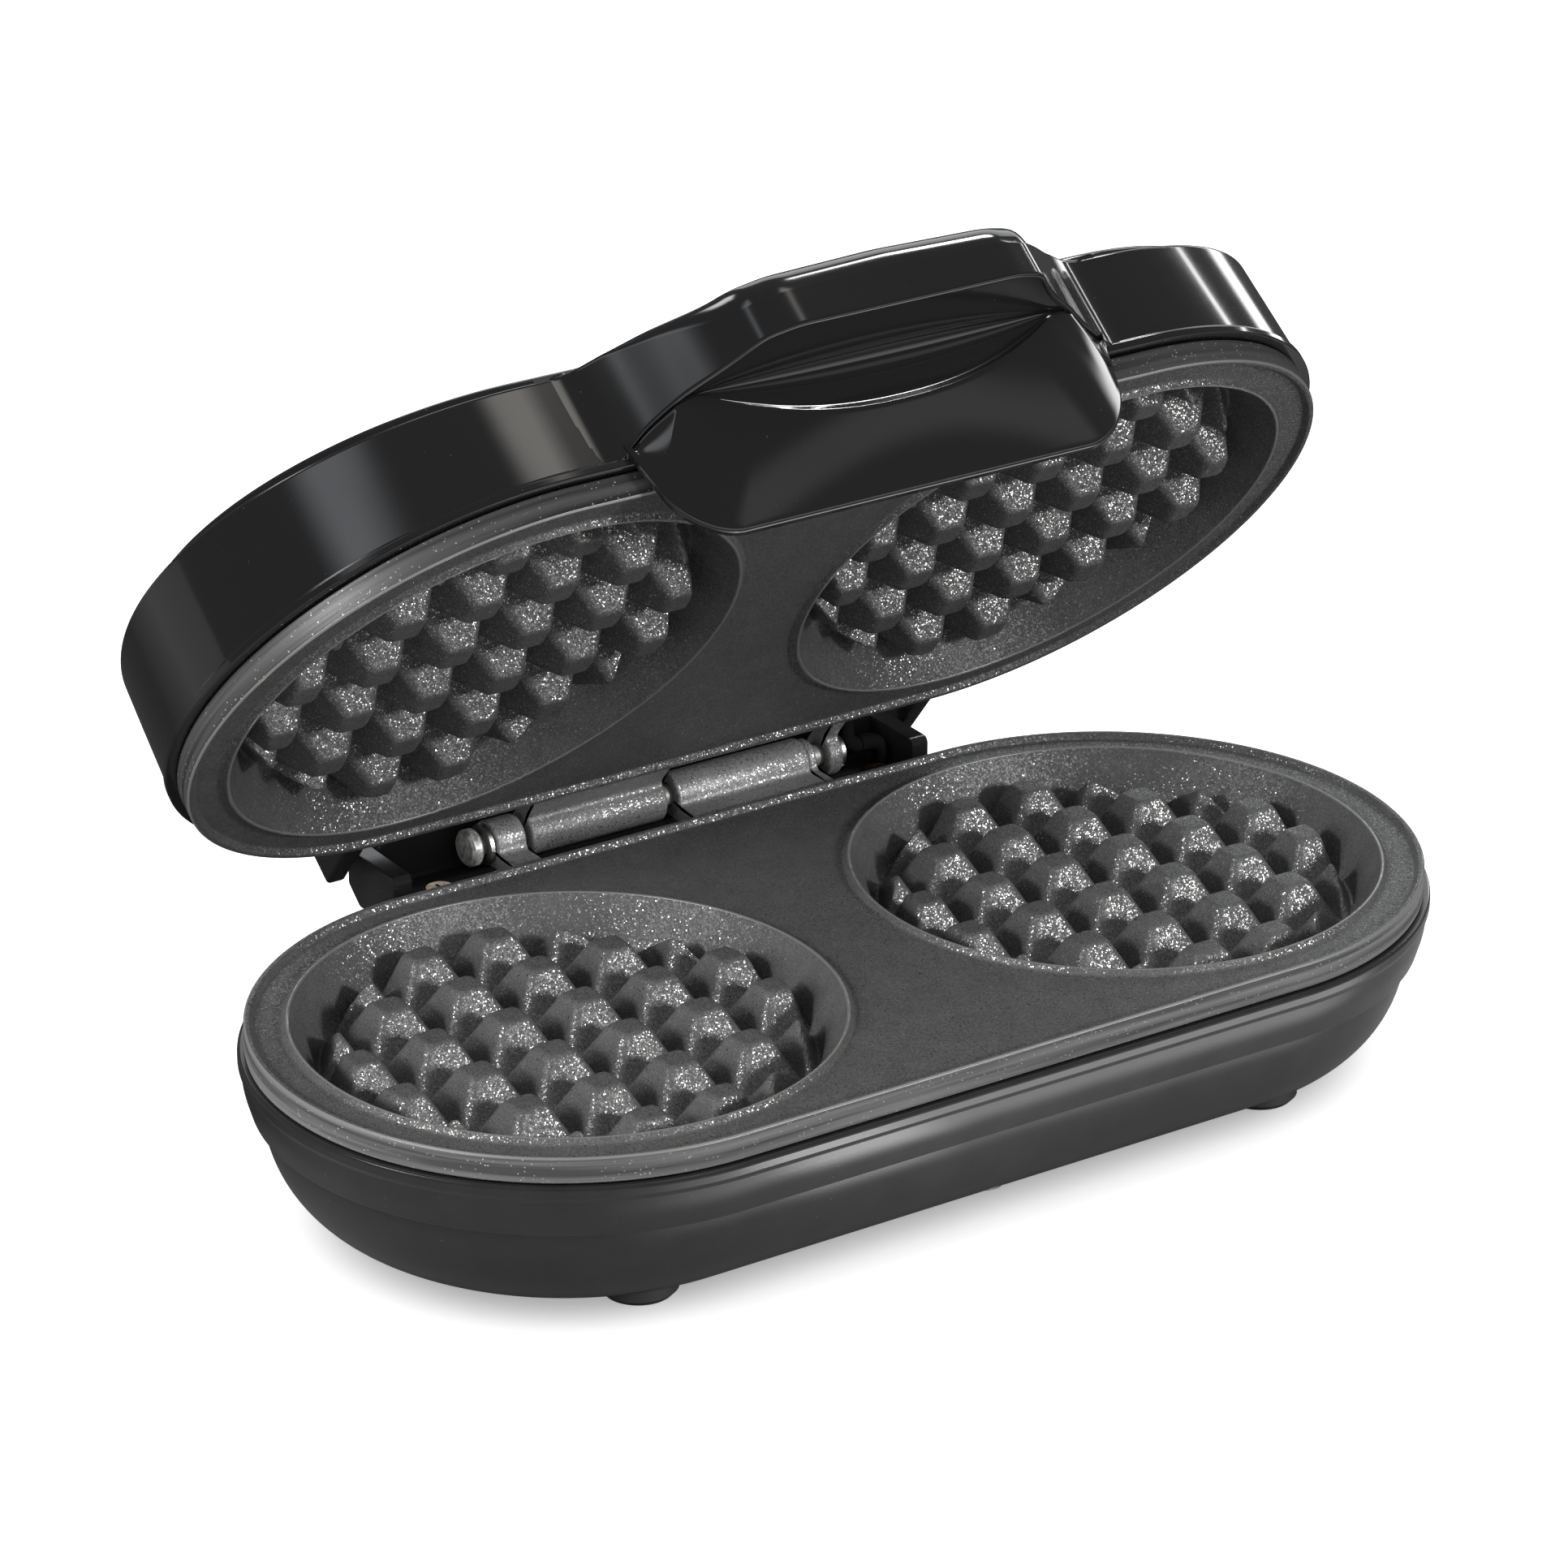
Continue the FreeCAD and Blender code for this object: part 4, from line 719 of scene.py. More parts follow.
class WafflePlateSizes(bpy.types.PropertyGroup):
    posts: IntProperty(name="Posts", description="Posts along each side of a mould", default=6)
    pitch: length("Post pitch", "Distance from post to post", 15.65)
    depth: length("Mould depth", "Mould floor below the mating plane", 10.3)
    floor_r: length("Floor radius", "Radius of the mould's floor", 45.2)
    shoulder_r: length("Shoulder radius", "Radius where the mould's wall eases", 48.3)
    shoulder_drop: length("Shoulder drop", "That place below the mating plane", 4.0)
    bead_r: length("Bead radius", "Inner radius of the bead round each mould", 50.3)
    bead_w: length("Bead width", "Width of the bead at its foot", 1.3)
    bead_drop: length("Bead drop", "Top of the bead below the mating plane", 0.15)
    post_drop: length("Post drop", "Post tops below the mating plane", 2.3)
    post_half: length("Post half width", "Half width of a post's top", 3.0)
    post_corner: length("Post corner", "Corner radius of a post", 1.25)
    post_edge: length("Post edge", "Rounding of a post's top edge", 1.05)
    post_foot: length("Post foot", "Rounding between a post and the floor", 1.75)
    trim_r: length("Trim radius", "Radius that trims the outer posts", 42.3)
    stub_r: length("Stub radius", "Radius that trims the posts that lie half outside", 41.1)
    deck_drop: length("Deck drop", "Deck below the mating plane", 1.3)
    deck_t: length("Deck thickness", "Thickness of the deck", 3.0)
    floor_t: length("Floor thickness", "Casting under the mould's floor", 2.5)
    rim_w: length("Rim width", "Width of the raised rim", 3.2)
    rim_drop: length("Rim drop", "Rim below the mating plane", 0.15)
    band_h: length("Band height", "Height of the machined band", 5.1)
    post_slope: number("Post slope", "Sideways growth by depth", 0.52)
    trim_slope: number("Trim slope", "Outward growth by depth", 0.3)
    stub_slope: number("Stub slope", "The same, for the half posts", 0.45)


class WaffleHingeSizes(bpy.types.PropertyGroup):
    barrel_r: length("Barrel radius", "Radius of the hinge barrels", 4.4)
    collar_r: length("Collar radius", "Radius of the narrow collar", 3.9)
    bore_r: length("Bore radius", "Radius of the pin's bore", 2.25)
    web_drop: length("Web drop", "Top of a lug's web below the axis", 0.9)
    web_front: length("Web root", "Where the web starts in the plate", 57.4)
    fillet: length("Lug fillet", "Fillet between web and barrel", 1.2)
    edge: length("Lug edge", "Rounding of the lugs' ends", 0.55)


class WaffleCasingSizes(bpy.types.PropertyGroup):
    wall: length("Wall", "Thickness of the moulding", 2.3)
    lip_top: length("Lip top", "Lip below the mating plane", 5.4)
    belt_r: length("Belt radius", "Foot of the upper wall", 57.7)
    belt_drop: length("Belt drop", "That foot below the mating plane", 15.8)
    bowl_r: length("Bowl radius", "Radius of the bowl under the belt", 55.65)
    flat_r: length("Flat radius", "Radius of the flat bottom", 38.0)
    fullness: number("Fullness", "How square the bowl's bend is", 0.55)
    housing_half: length("Housing half width", "Half width of the hinge housing", 61.0)
    housing_front: length("Housing front", "Front of the housing's cheeks", 62.0)
    housing_top: length("Housing top", "Height of the cheeks", 1.6)
    housing_low: length("Housing bottom", "Underside below the mating plane", 9.2)
    cheek: length("Cheek", "Thickness of the housing's ends", 4.0)


class WaffleLidSizes(bpy.types.PropertyGroup):
    wall: length("Wall", "Thickness of the moulding", 2.3)
    lip_low: length("Lip", "Lower edge of the lid's wall", 5.4)
    middle_r: length("Middle radius", "Radius half way up the wall", 59.2)
    middle_h: length("Middle height", "That place's height", 22.0)
    top_r: length("Top radius", "Radius of the wall's upper edge", 58.7)
    roof: length("Roof", "Height of the roof on the centre line", 30.3)
    arch_r: length("Arch radius", "Radius of the roof's arch", 411.0)
    edge: length("Roof edge", "Rounding of the wall's upper edge", 0.8)
    cover_edge: length("Cover edge", "Rounding of the cover's edge", 1.3)
    cover_gap: length("Cover gap", "Gap under the cover's edge", 0.2)
    tab_half: length("Tab half width", "Half width of the rear tab", 67.0)
    tab_low: length("Tab bottom", "Lower edge of the rear tab", 3.3)
    ear_back: length("Ear back", "How far back the tab reaches beside the hinge", 77.0)
    sweep_r: length("Hinge room", "Radius kept clear round the hinge axis", 11.4)


class WaffleHandleSizes(bpy.types.PropertyGroup):
    shelf: length("Shelf height", "Underside of the finger shelf", 11.3)
    rim: length("Rim", "Width of the fairing's lower rim", 1.5)
    crown: length("Crown", "Rounding of the fairing's crown", 6.0)
    half: length("Skirt half width", "Half width of the skirt", 48.9)
    corner: length("Skirt corner", "Radius of the skirt's lower corners", 10.5)
    tip_x: length("Arc tip", "Where the pocket's arc meets the shelf", 38.2)
    arc_low: length("Arc bottom", "Lowest point of the pocket's arc", 0.9)
    roll: length("Skirt roll", "Rounding of the skirt's edge", 1.3)
    bulge: length("Skirt bulge", "Swell of the skirt", 0.5)
    back: length("Skirt back", "Back face of the skirt", 60.6)
    taper: number("Skirt taper", "Share by which the skirt narrows", 0.05)
    flare: number("Skirt flare", "Share by which its top widens", 0.05)


class WaffleStage(bpy.types.PropertyGroup):
    distance: length("Distance", "Camera from its target", 1194.0)
    target: FloatVectorProperty(name="Target", description="Point that the camera looks at",
                                default=(-0.0041, 0.0155, 0.063), subtype="XYZ", unit="LENGTH")
    azimuth: angle("Azimuth", "Camera round the object", -33.55)
    elevation: angle("Elevation", "Camera above the horizon", 24.0)
    lens: number("Lens", "Focal length in millimetres", 148.5)
    key: number("Key light", "Power of the front key light", 9.0)
    side: number("Side light", "Power of the left key light", 6.0)
    strip: number("Strip lights", "Power of the lights seen only in the gloss", 4.0)
    sky: number("Fill", "Strength of the light from all round", 1.0)
    gloss_sky: number("Gloss fill", "The same, as seen in the gloss", 0.10)
    floor_light: number("Floor light", "Strength of the floor's own light", 3.0)


# ---------------------------------------------------------------- waffle plates
# Rounding where the posts are trimmed, and where the mould's wall starts
TRIM_BLEND, WALL_BLEND = 2.4 * MM, 1.6 * MM


def mould_height(x, y, s):
    """Height of a mould's floor, posts and lower wall at points measured from its centre."""
    last = (s.posts - 1) / 2
    columns = np.clip(np.round(x / s.pitch + last), 0, s.posts - 1) - last
    lines = np.clip(np.round(y / s.pitch + last), 0, s.posts - 1) - last
    a, b = np.abs(x - columns * s.pitch), np.abs(y - lines * s.pitch)
    lean, corner = np.abs(a - b), s.post_corner
    across = (a + b - np.sqrt(np.maximum(2 * corner ** 2 - lean ** 2, 0.0))) / 2 + corner
    out = np.where(lean >= corner, np.maximum(a, b), across)
    r = np.hypot(x, y)
    post = -s.post_drop - (out - s.post_half) / s.post_slope
    outer = np.hypot(columns, lines) * s.pitch > s.trim_r
    trim = -s.post_drop - (r - s.trim_r) / s.trim_slope
    stub = -s.post_drop - (r - s.stub_r) / s.stub_slope
    cut = smooth_min(post, np.where(outer, stub, trim), TRIM_BLEND)
    z = smooth_min(cut, np.full_like(r, -s.post_drop), s.post_edge)
    z = smooth_max(z, np.full_like(r, -s.depth), s.post_foot)
    rise = (s.depth - s.shoulder_drop) / (s.shoulder_r - s.floor_r)
    return smooth_max(z, -s.depth + (r - s.floor_r) * rise, WALL_BLEND)


def lattice(s, reach):
    """Plan points of a mould: closer together where the posts' edges and feet are."""
    step = [0.0, 1.3, 2.2, 2.6, 2.95, 3.3, 3.7, 4.6, 5.5, 6.1, 6.6, 7.0, 7.4]
    half = [v * MM for v in step] + [s.pitch / 2]
    cell = sorted(set([-v for v in half[:-1]] + half))
    last = (s.posts - 1) / 2
    line = np.unique(np.round([c + (i - last) * s.pitch for i in range(s.posts) for c in cell], 7))
    x, y = [g.ravel() for g in np.meshgrid(line, line)]
    rings = [r * MM for r in (41.2, 41.8, 42.3, 42.8, 43.3, 43.8, 44.3, 44.8, 45.3, 45.8)]
    r = np.hypot(x, y)
    clear = np.all([np.abs(r - ring) > 0.22 * MM for ring in rings], axis=0)
    inside = clear & (r < reach - 0.35 * MM)
    return np.vstack([np.column_stack([x, y])[inside]] + [circle(ring, RING_STEPS) for ring in rings])


# Finishes of a plate's faces, in the order that its piece is given them
PLATE_FINISHES = ["nonstick_plate", "machined_band", "cast_lug", "rubbed_crest", "nonstick_wall"]
COATED, BAND, LUG, CREST, MOULD_WALL = range(5)


def plate_mesh(s):
    """Casting with its moulds facing up, without its lugs."""
    skin = Skin()
    reach = s.floor_r + 1.2 * MM
    wall = rounded_path([
        (reach, mould_height(np.array([reach]), np.zeros(1), s)[0], 0),
        (s.shoulder_r, -s.shoulder_drop, 4.0 * MM),
        (s.bead_r, -s.bead_drop, 0.4 * MM),
        (s.bead_r + 0.35 * s.bead_w, -s.bead_drop, 0.7 * MM),
        (s.bead_r + s.bead_w, -s.deck_drop, 1.1 * MM),
        (s.bead_r + s.bead_w + 0.9 * MM, -s.deck_drop, 0)], 7)
    points = lattice(s, reach)
    heights = mould_height(points[:, 0], points[:, 1], s)
    cups, back_cups = [], []
    back = -s.deck_drop - s.deck_t
    under = [(s.bead_r + 2.6 * MM, back), (s.floor_r + 1.8 * MM, -s.depth - s.floor_t)]
    crest = (s.bead_r - 0.2 * MM, s.bead_r + 0.5 * MM)

    def wall_finish(i):
        if crest[0] < wall[i][0] < crest[1]:
            return CREST
        return MOULD_WALL if wall[i][0] < s.bead_r else COATED

    for cx in (-MOULD_X, MOULD_X):
        rings = skin.rows([lifted(circle(r, MOULD_STEPS, cx), z) for r, z in wall], wall_finish)
        skin.fill([rings[0]], lambda x, y: math.hypot(x - cx, y) < reach, heights, points + (cx, 0))
        cups.append(rings[-1])
        below = skin.rows([lifted(circle(r, MOULD_STEPS, cx), z) for r, z in under])
        skin.face(tuple(below[-1]))
        back_cups.append(below[0])
    inner, foot = RIM_R - s.rim_w, RIM_R - 2.0 * MM
    rim = rounded_path([
        (foot - 0.8 * MM, -s.deck_drop, 0), (foot, -s.deck_drop, 0.5 * MM),
        (RIM_R - 1.1 * MM, -s.rim_drop, 0.45 * MM), (RIM_R - 0.3 * MM, -s.rim_drop, 0.2 * MM),
        (RIM_R, -0.45 * MM, 0.12 * MM), (RIM_R, -s.band_h, 0.25 * MM),
        (inner, -s.band_h, 0.2 * MM), (inner - 0.4 * MM, back, 0.2 * MM), (inner - 2.0 * MM, back, 0)])
    band = [i for i, (r, z) in enumerate(rim) if r > RIM_R - 0.02 * MM and z < -0.5 * MM]

    def rim_finish(i):
        if i in band[:-1]:
            return BAND
        return CREST if rim[i][0] > RIM_R - 0.8 * MM and i < band[0] else COATED

    edge = skin.rows([lifted(stadium(r, RIM_SIDE_STEPS), z) for r, z in rim], rim_finish)
    for outer, holes, r in ((edge[0], cups, wall[-1][0]), (edge[-1], back_cups, under[0][0])):
        clear = r * math.cos(math.pi / MOULD_STEPS)
        skin.fill([outer] + holes, lambda x, y: math.hypot(abs(x) - MOULD_X, y) > clear)
    return skin.mesh("plate")


def lug_mesh(span, radius, s):
    """Hinge barrel with its web, rounded ends and bore."""
    x0, x1 = span

    def outline(inset):
        r, f = radius - inset, s.fillet + inset
        top, low = -s.web_drop - inset, -radius + inset
        middle = (-math.sqrt((r + f) ** 2 - (top + f) ** 2), top + f)
        toward = math.atan2(-middle[1], -middle[0])
        fillet = [(middle[0] + f * math.cos(a), middle[1] + f * math.sin(a))
                  for a in np.linspace(-math.pi / 2, toward, 6)]
        barrel = [(r * math.cos(a), r * math.sin(a))
                  for a in np.linspace(toward + math.pi, -math.pi / 2, 40)]
        root = s.web_front - HINGE_Y
        return np.array([(root, top)] + fillet + barrel[1:] + [(root, low)]) + (HINGE_Y, 0)

    ends = [(s.edge * (1 - math.cos(a)), s.edge * (1 - math.sin(a)))
            for a in np.linspace(0, math.pi / 2, 5)]
    rows = [at_x(x, outline(inset)) for x, inset in stations(x0, x1, ends)]
    angles = np.arctan2(rows[0][:, 2], rows[0][:, 1] - HINGE_Y)

    def bore(x, r):
        return at_x(x, np.column_stack([HINGE_Y + r * np.cos(angles), r * np.sin(angles)]))

    lead = 0.3 * MM
    inner = [bore(x1, s.bore_r + lead), bore(x1 - lead, s.bore_r),
             bore(x0 + lead, s.bore_r), bore(x0, s.bore_r + lead)]
    return looped(rows + inner, "lug")


# X spans of the lugs that share the pin, from the washer to the clip
LOWER_LUGS = [((-36.2 * MM, -29.6 * MM), "barrel_r"), ((4.6 * MM, 35.1 * MM), "barrel_r"),
              ((35.15 * MM, 37.1 * MM), "collar_r")]
UPPER_LUGS = [((-28.4 * MM, 2.2 * MM), "barrel_r"), ((39.7 * MM, 43.0 * MM), "barrel_r")]


class WAFFLE_OT_plates(bpy.types.Operator):
    """Make the two cast waffle plates with their moulds, posts and hinge lugs"""
    bl_idname = "waffle.plates"
    bl_label = "Waffle Plates"

    def execute(self, context):
        scene = context.scene
        casting = plate_mesh(scene.waffle_plate)
        finishes = list(PLATE_FINISHES)
        for name, lugs, place, body in (("lower_waffle_plate", LOWER_LUGS, BASE_PLACE, BASE),
                                        ("upper_waffle_plate", UPPER_LUGS, LID_PLACE @ TURN_OVER, LID)):
            barrels = [lug_mesh(span, getattr(scene.waffle_hinge, size), scene.waffle_hinge)
                       for span, size in lugs]
            for barrel in barrels:
                barrel.polygons.foreach_set("material_index", [LUG] * len(barrel.polygons))
            if body == LID:
                # the lid's band takes the darker copy of the band, which is painted shade
                finishes[BAND] = "machined_band_lid"
            make_piece(name + "_casting", joined([casting] + barrels, name + "_casting"), finishes, body,
                       [name], place)
        return {"FINISHED"}


# ---------------------------------------------------------------- base
def bowl_profile(s, inset):
    """Radius and height points of the casing from its flat bottom up to the lip."""
    bottom = CASING_LOW[2] + inset
    wall_r, flat_r = s.bowl_r - inset, s.flat_r - 0.4 * inset
    step = -s.belt_drop - 0.2 * MM
    k = s.fullness
    poles = np.array([(flat_r, bottom), (flat_r + k * (wall_r - flat_r), bottom),
                      (wall_r, step - k * (step - bottom)), (wall_r, step - 0.35 * MM)])
    t = np.linspace(0, 1, 29)[:, None]
    bend = ((1 - t) ** 3 * poles[0] + 3 * t * (1 - t) ** 2 * poles[1]
            + 3 * t ** 2 * (1 - t) * poles[2] + t ** 3 * poles[3])
    lip_r = LIP_R - inset
    upper = rounded_path([
        (wall_r, step - 0.2 * MM, 0), (wall_r, step, 0.15 * MM), (s.belt_r - inset, -s.belt_drop, 0.7 * MM),
        (lip_r - 0.75 * MM, -11.5 * MM, 14 * MM), (lip_r - 0.5 * MM, -8.3 * MM, 0.9 * MM),
        (lip_r, -7.4 * MM, 0.35 * MM),
        (lip_r, -s.lip_top, 0.7 * MM), (lip_r - 2.5 * MM, -s.lip_top, 0)])
    return np.vstack([bend, upper])


def casing_shell(s):
    """Bowl with its wall thickness, open at the top."""
    bottom, open_r = CASING_LOW[2], RIM_R - 3.0 * MM
    profile = np.vstack([[(s.flat_r * 0.97, bottom)], bowl_profile(s, 0),
                         [(open_r, -s.lip_top), (open_r, -8.8 * MM)], bowl_profile(s, s.wall)[-3::-1],
                         [(s.flat_r * 0.9, bottom + s.wall)]])
    return outward(capped([lifted(stadium(r), z) for r, z in profile], "casing"))


def housing_mesh(s):
    """Rear block that the hinge's channel is cut into, with its cheeks and bevelled lower edge."""
    rear = CASING_HIGH[1]
    front = RIM_R - 1.0 * MM
    low, lip = -s.housing_low, -s.lip_top
    outline = rounded_path([
        (front, low + 2 * MM, 0), (front, low, 0.3 * MM), (rear - 4.0 * MM, low, 1.2 * MM),
        (rear, low + 3.5 * MM, 1.2 * MM), (rear, s.housing_top, 1.4 * MM),
        (s.housing_front, s.housing_top, 1.4 * MM), (s.housing_front, lip, 0.3 * MM),
        (front, lip, 0.3 * MM), (front, low + 2.2 * MM, 0)])
    edge = 0.7 * MM
    centre = outline.mean(0)
    toward = outline - centre
    furthest = np.maximum(np.abs(toward).max(1), edge)
    ends = [(0, edge), (0.2 * MM, 0.3 * edge), (edge, 0)]
    rows = [at_x(x, centre + toward * (1 - inset / furthest)[:, None])
            for x, inset in stations(-s.housing_half, s.housing_half, ends)]
    return outward(capped(rows, "housing"))


def screw_heads(node, place):
    """Centres of the separate solids of a node of like screws, in the drawn frame."""
    work = bmesh.new()
    work.from_mesh(frame["nodes"][node].data)
    bmesh.ops.remove_doubles(work, verts=work.verts, dist=1e-6)
    centres, left = [], set(work.verts)
    while left:
        island, edge = [], [left.pop()]
        while edge:
            vert = edge.pop()
            island.append(vert.co.copy())
            near = [e.other_vert(vert) for e in vert.link_edges]
            new = [v for v in near if v in left]
            left.difference_update(new)
            edge += new
        points = np.array([place.inverted() @ p for p in island])
        centres.append((points.min(0) + points.max(0)) / 2)
    work.free()
    return centres


VENTS_X = np.arange(-24, 25, 8) * MM
VENT_HALF, VENT_FRONT, VENT_REAR = 1.4 * MM, -28 * MM, -10 * MM
WELL_R, WELL_DEPTH = 3.9 * MM, 3.1 * MM         # round each plate screw


def casing_mesh(s):
    """Casing with its foot pads and hinge housing, less the channel, vents, wells and cord opening."""
    bottom, rear = CASING_LOW[2], CASING_HIGH[1]
    added = [housing_mesh(s)]
    for node in ("foot_front_left", "foot_front_right", "foot_rear_left", "foot_rear_right"):
        low, high = drawn_box(node, BASE_PLACE)
        x, y, _ = (low + high) / 2
        added.append(turned_solid([(6.3 * MM, bottom + 0.1 * MM), (6.6 * MM, bottom + 4.5 * MM)], 32,
                                  (x, y, 0)))
    inside = s.housing_half - s.cheek
    taken = [slab(rectangle(-inside, inside, LIP_R + 0.2 * MM, rear - s.wall),
                  -s.housing_low + 2.2 * MM, 5 * MM, 0.8 * MM)]
    taken += [slab(rectangle(x - VENT_HALF, x + VENT_HALF, VENT_FRONT, VENT_REAR), bottom - MM,
                   bottom + 4 * MM) for x in VENTS_X]
    taken += [turned_solid([(WELL_R, bottom - MM), (WELL_R, bottom + WELL_DEPTH)], 32, (x, y, 0))
              for x, y, _ in screw_heads("lower_plate_screws", BASE_PLACE)]
    centre = (BUSH_LOW + BUSH_HIGH) / 2
    bush_r = (BUSH_HIGH[0] - BUSH_LOW[0]) / 2 - 1.8 * MM
    taken.append(turned_solid([(bush_r, 44 * MM), (bush_r, 62 * MM)], 40, (centre[0], 0, centre[2]), "Y"))
    return carved(carved(casing_shell(s), added, "UNION"), taken)


class WAFFLE_OT_casing(bpy.types.Operator):
    """Make the base casing: bowl, lip, hinge housing, vents and screw wells"""
    bl_idname = "waffle.casing"
    bl_label = "Base Casing"

    def execute(self, context):
        make_piece("base_casing", casing_mesh(context.scene.waffle_casing), ["casing_plastic"], BASE,
                   ["lower_casing"], BASE_PLACE, sharp_degrees=28, flat=True)
        return {"FINISHED"}


# ---------------------------------------------------------------- lid
def arch(y, crest):
    """Height of the roof's arch, which only bends from front to back."""
    radius = bpy.context.scene.waffle_lid.arch_r
    return crest - radius + np.sqrt(radius ** 2 - np.asarray(y) ** 2)


def wall_radius(w, s):
    """Outer radius of the lid's wall at a height."""
    heights = [s.lip_low + 1.8 * MM, s.middle_h, s.roof]
    return np.interp(w, heights, [LID_LIP_R - 0.5 * MM, s.middle_r, s.top_r])


def lid_wall(s):
    """Wall and roof edge of the lid, hollow and open below and under the cover."""
    centre_line = stadium(0.0, LID_SIDE_STEPS)
    out = stadium(1.0, LID_SIDE_STEPS) - centre_line
    front_y = out[:, 1] * s.top_r
    top = arch(front_y, s.roof)
    mouth, inner_r = RIM_R - 3.0 * MM, LID_LIP_R - s.wall
    sections = []
    for w_top, side in zip(top, np.abs(out[:, 1])):
        r_top = wall_radius(w_top, s)
        cover = COVER_R - 5 * MM
        rise = arch(side * cover, s.roof)
        corners = [(mouth, s.lip_low, 0), (LID_LIP_R, s.lip_low, 0.35 * MM),
                   (LID_LIP_R, s.lip_low + 1.5 * MM, 0.4 * MM),
                   (LID_LIP_R - 0.55 * MM, s.lip_low + 1.9 * MM, 0.35 * MM),
                   (s.middle_r, s.middle_h - 2 * MM, 12 * MM),
                   (r_top, w_top, s.edge), (cover, rise, 0.3 * MM), (cover, rise - s.wall, 0.3 * MM),
                   (inner_r - 1.5 * MM, w_top - s.wall, 1.5 * MM), (inner_r, s.lip_low + 2 * MM, 0.2 * MM),
                   (mouth, s.lip_low + 2 * MM, 0)]
        sections.append(rounded_path(corners, 6))
    sections = np.array(sections)
    return looped([np.column_stack([centre_line + out * sections[:, k, :1], sections[:, k, 1]])
                   for k in range(sections.shape[1])], "lid_wall")


# Fairing over the handle, from the middle outwards: x, how far it reaches forward as a setback
# from the nose, height of its top, and height of its lower edge above the shelf
FAIRING = np.array([(0, 0, 25.2, 0), (23.0, 0, 24.4, 0), (29.5, 2.0, 24.3, 0), (33.4, 7.7, 25.0, 0),
                    (37.2, 12.0, 25.9, 0), (41.0, 15.5, 26.4, -0.2), (47.0, 21.7, 26.7, -1.6),
                    (53.0, 26.2, 26.6, -5.2), (60.0, 28.6, 26.2, -5.8)]) * MM


def fairing_at(x):
    """Reach, top height and lower edge of the fairing at x."""
    x = np.abs(x)
    h = bpy.context.scene.waffle_handle
    spread = 1.3 * MM
    knots = np.concatenate([-FAIRING[:0:-1, 0], FAIRING[:, 0]])
    both = [np.concatenate([FAIRING[:0:-1, k], FAIRING[:, k]]) for k in (1, 2, 3)]
    setback, top, edge = [eased(x, knots, values, spread) for values in both]
    return NOSE_OUT - setback, top, h.shelf + edge


FAIRING_STEPS = 241
# How far forward of the middle the fairing's back face lies, and where it meets the roof
FAIRING_BACK, FAIRING_TOP = 55 * MM, 54 * MM


def fairing_mesh(s, h):
    """Bulge over the handle that flows into the lid's wall at both ends."""
    end = FAIRING[-1, 0]
    sections = []
    for x in np.linspace(-end, end, FAIRING_STEPS):
        reach, top, low = fairing_at(x)
        # crown, rim and the rounding into the wall all get smaller where the fairing runs out
        share = min(1.0, max(0.12, (reach - 61 * MM) / (20 * MM)))
        rim = min(h.rim, 0.3 * (reach - FAIRING_BACK))
        roof = arch(FAIRING_TOP, s.roof)
        section = rounded_path([
            (FAIRING_BACK, low + 0.9 * MM, 0), (reach - rim, low + 0.9 * MM, 0.1 * MM),
            (reach - rim, low, 0.25 * MM), (reach, low, 0.8 * MM),
            (reach, top - 0.4 * MM, h.crown * share), (FAIRING_TOP, roof - 0.1 * MM, 0)], 8)
        wall = wall_radius(section[:, 1], s) - 0.03 * MM
        blend = 2.2 * MM * min(1.0, max(0.02, (end - abs(x)) / (9 * MM)))
        section[:, 0] = np.where(section[:, 1] > low - 0.01 * MM,
                                 smooth_max(section[:, 0], wall, blend) - 0.02 * MM, section[:, 0])
        sections.append(at_x(x, section * (-1, 1)))
    return capped(sections, "fairing")


SIDEWAYS = Matrix(((0, 0, 1, 0), (1, 0, 0, 0), (0, 1, 0, 0), (0, 0, 0, 1)))    # x, y, z to y, z, x


def tab_mesh(s):
    """Rear tab of the lid, cleared round the hinge housing."""
    back, half, clear = SHELL_HIGH[1], s.tab_half, 63.0 * MM
    wide = half - 0.4 * MM
    block = slab(rectangle(-wide, wide, 50 * MM, back), s.tab_low + 0.1 * MM, s.roof - 6.0 * MM, 1.0 * MM)
    sweep = turned_solid([(s.sweep_r, -clear), (s.sweep_r, clear)], 96, (0, HINGE_Y, 0), "X")
    room = slab(stadium(RIM_R + 0.3 * MM, *CUTTER_STEPS), -2 * MM, s.lip_low)
    inner = slab(stadium(LID_LIP_R - s.wall, *CUTTER_STEPS), s.lip_low - MM, s.roof - 7 * MM)
    slot = slab(rectangle(-clear, clear, 48 * MM, 62 * MM), -2 * MM, s.lip_low)
    ears = []
    side = [(60.5 * MM, s.tab_low), (s.ear_back, s.tab_low), (s.ear_back, 17 * MM), (72 * MM, 22.4 * MM),
            (60.5 * MM, 23.5 * MM)]
    for x in (clear, -half):
        ear = slab(side, x, x + half - clear, 0.8 * MM)
        ear.transform(SIDEWAYS)
        ears.append(ear)
    return carved(carved(block, [sweep, room, inner, slot]), ears, "UNION")


class WAFFLE_OT_lid(bpy.types.Operator):
    """Make the lid's shell: wall, roof edge, rear tab and the fairing over the handle"""
    bl_idname = "waffle.lid"
    bl_label = "Lid Shell"

    def execute(self, context):
        s, h = context.scene.waffle_lid, context.scene.waffle_handle
        parts = [lid_wall(s), fairing_mesh(s, h), tab_mesh(s)]
        make_piece("lid_moulding", joined(parts, "lid_moulding"), ["lid_plastic"], LID,
                   ["lid_shell"], LID_PLACE, sharp_degrees=30, flat=True)
        return {"FINISHED"}


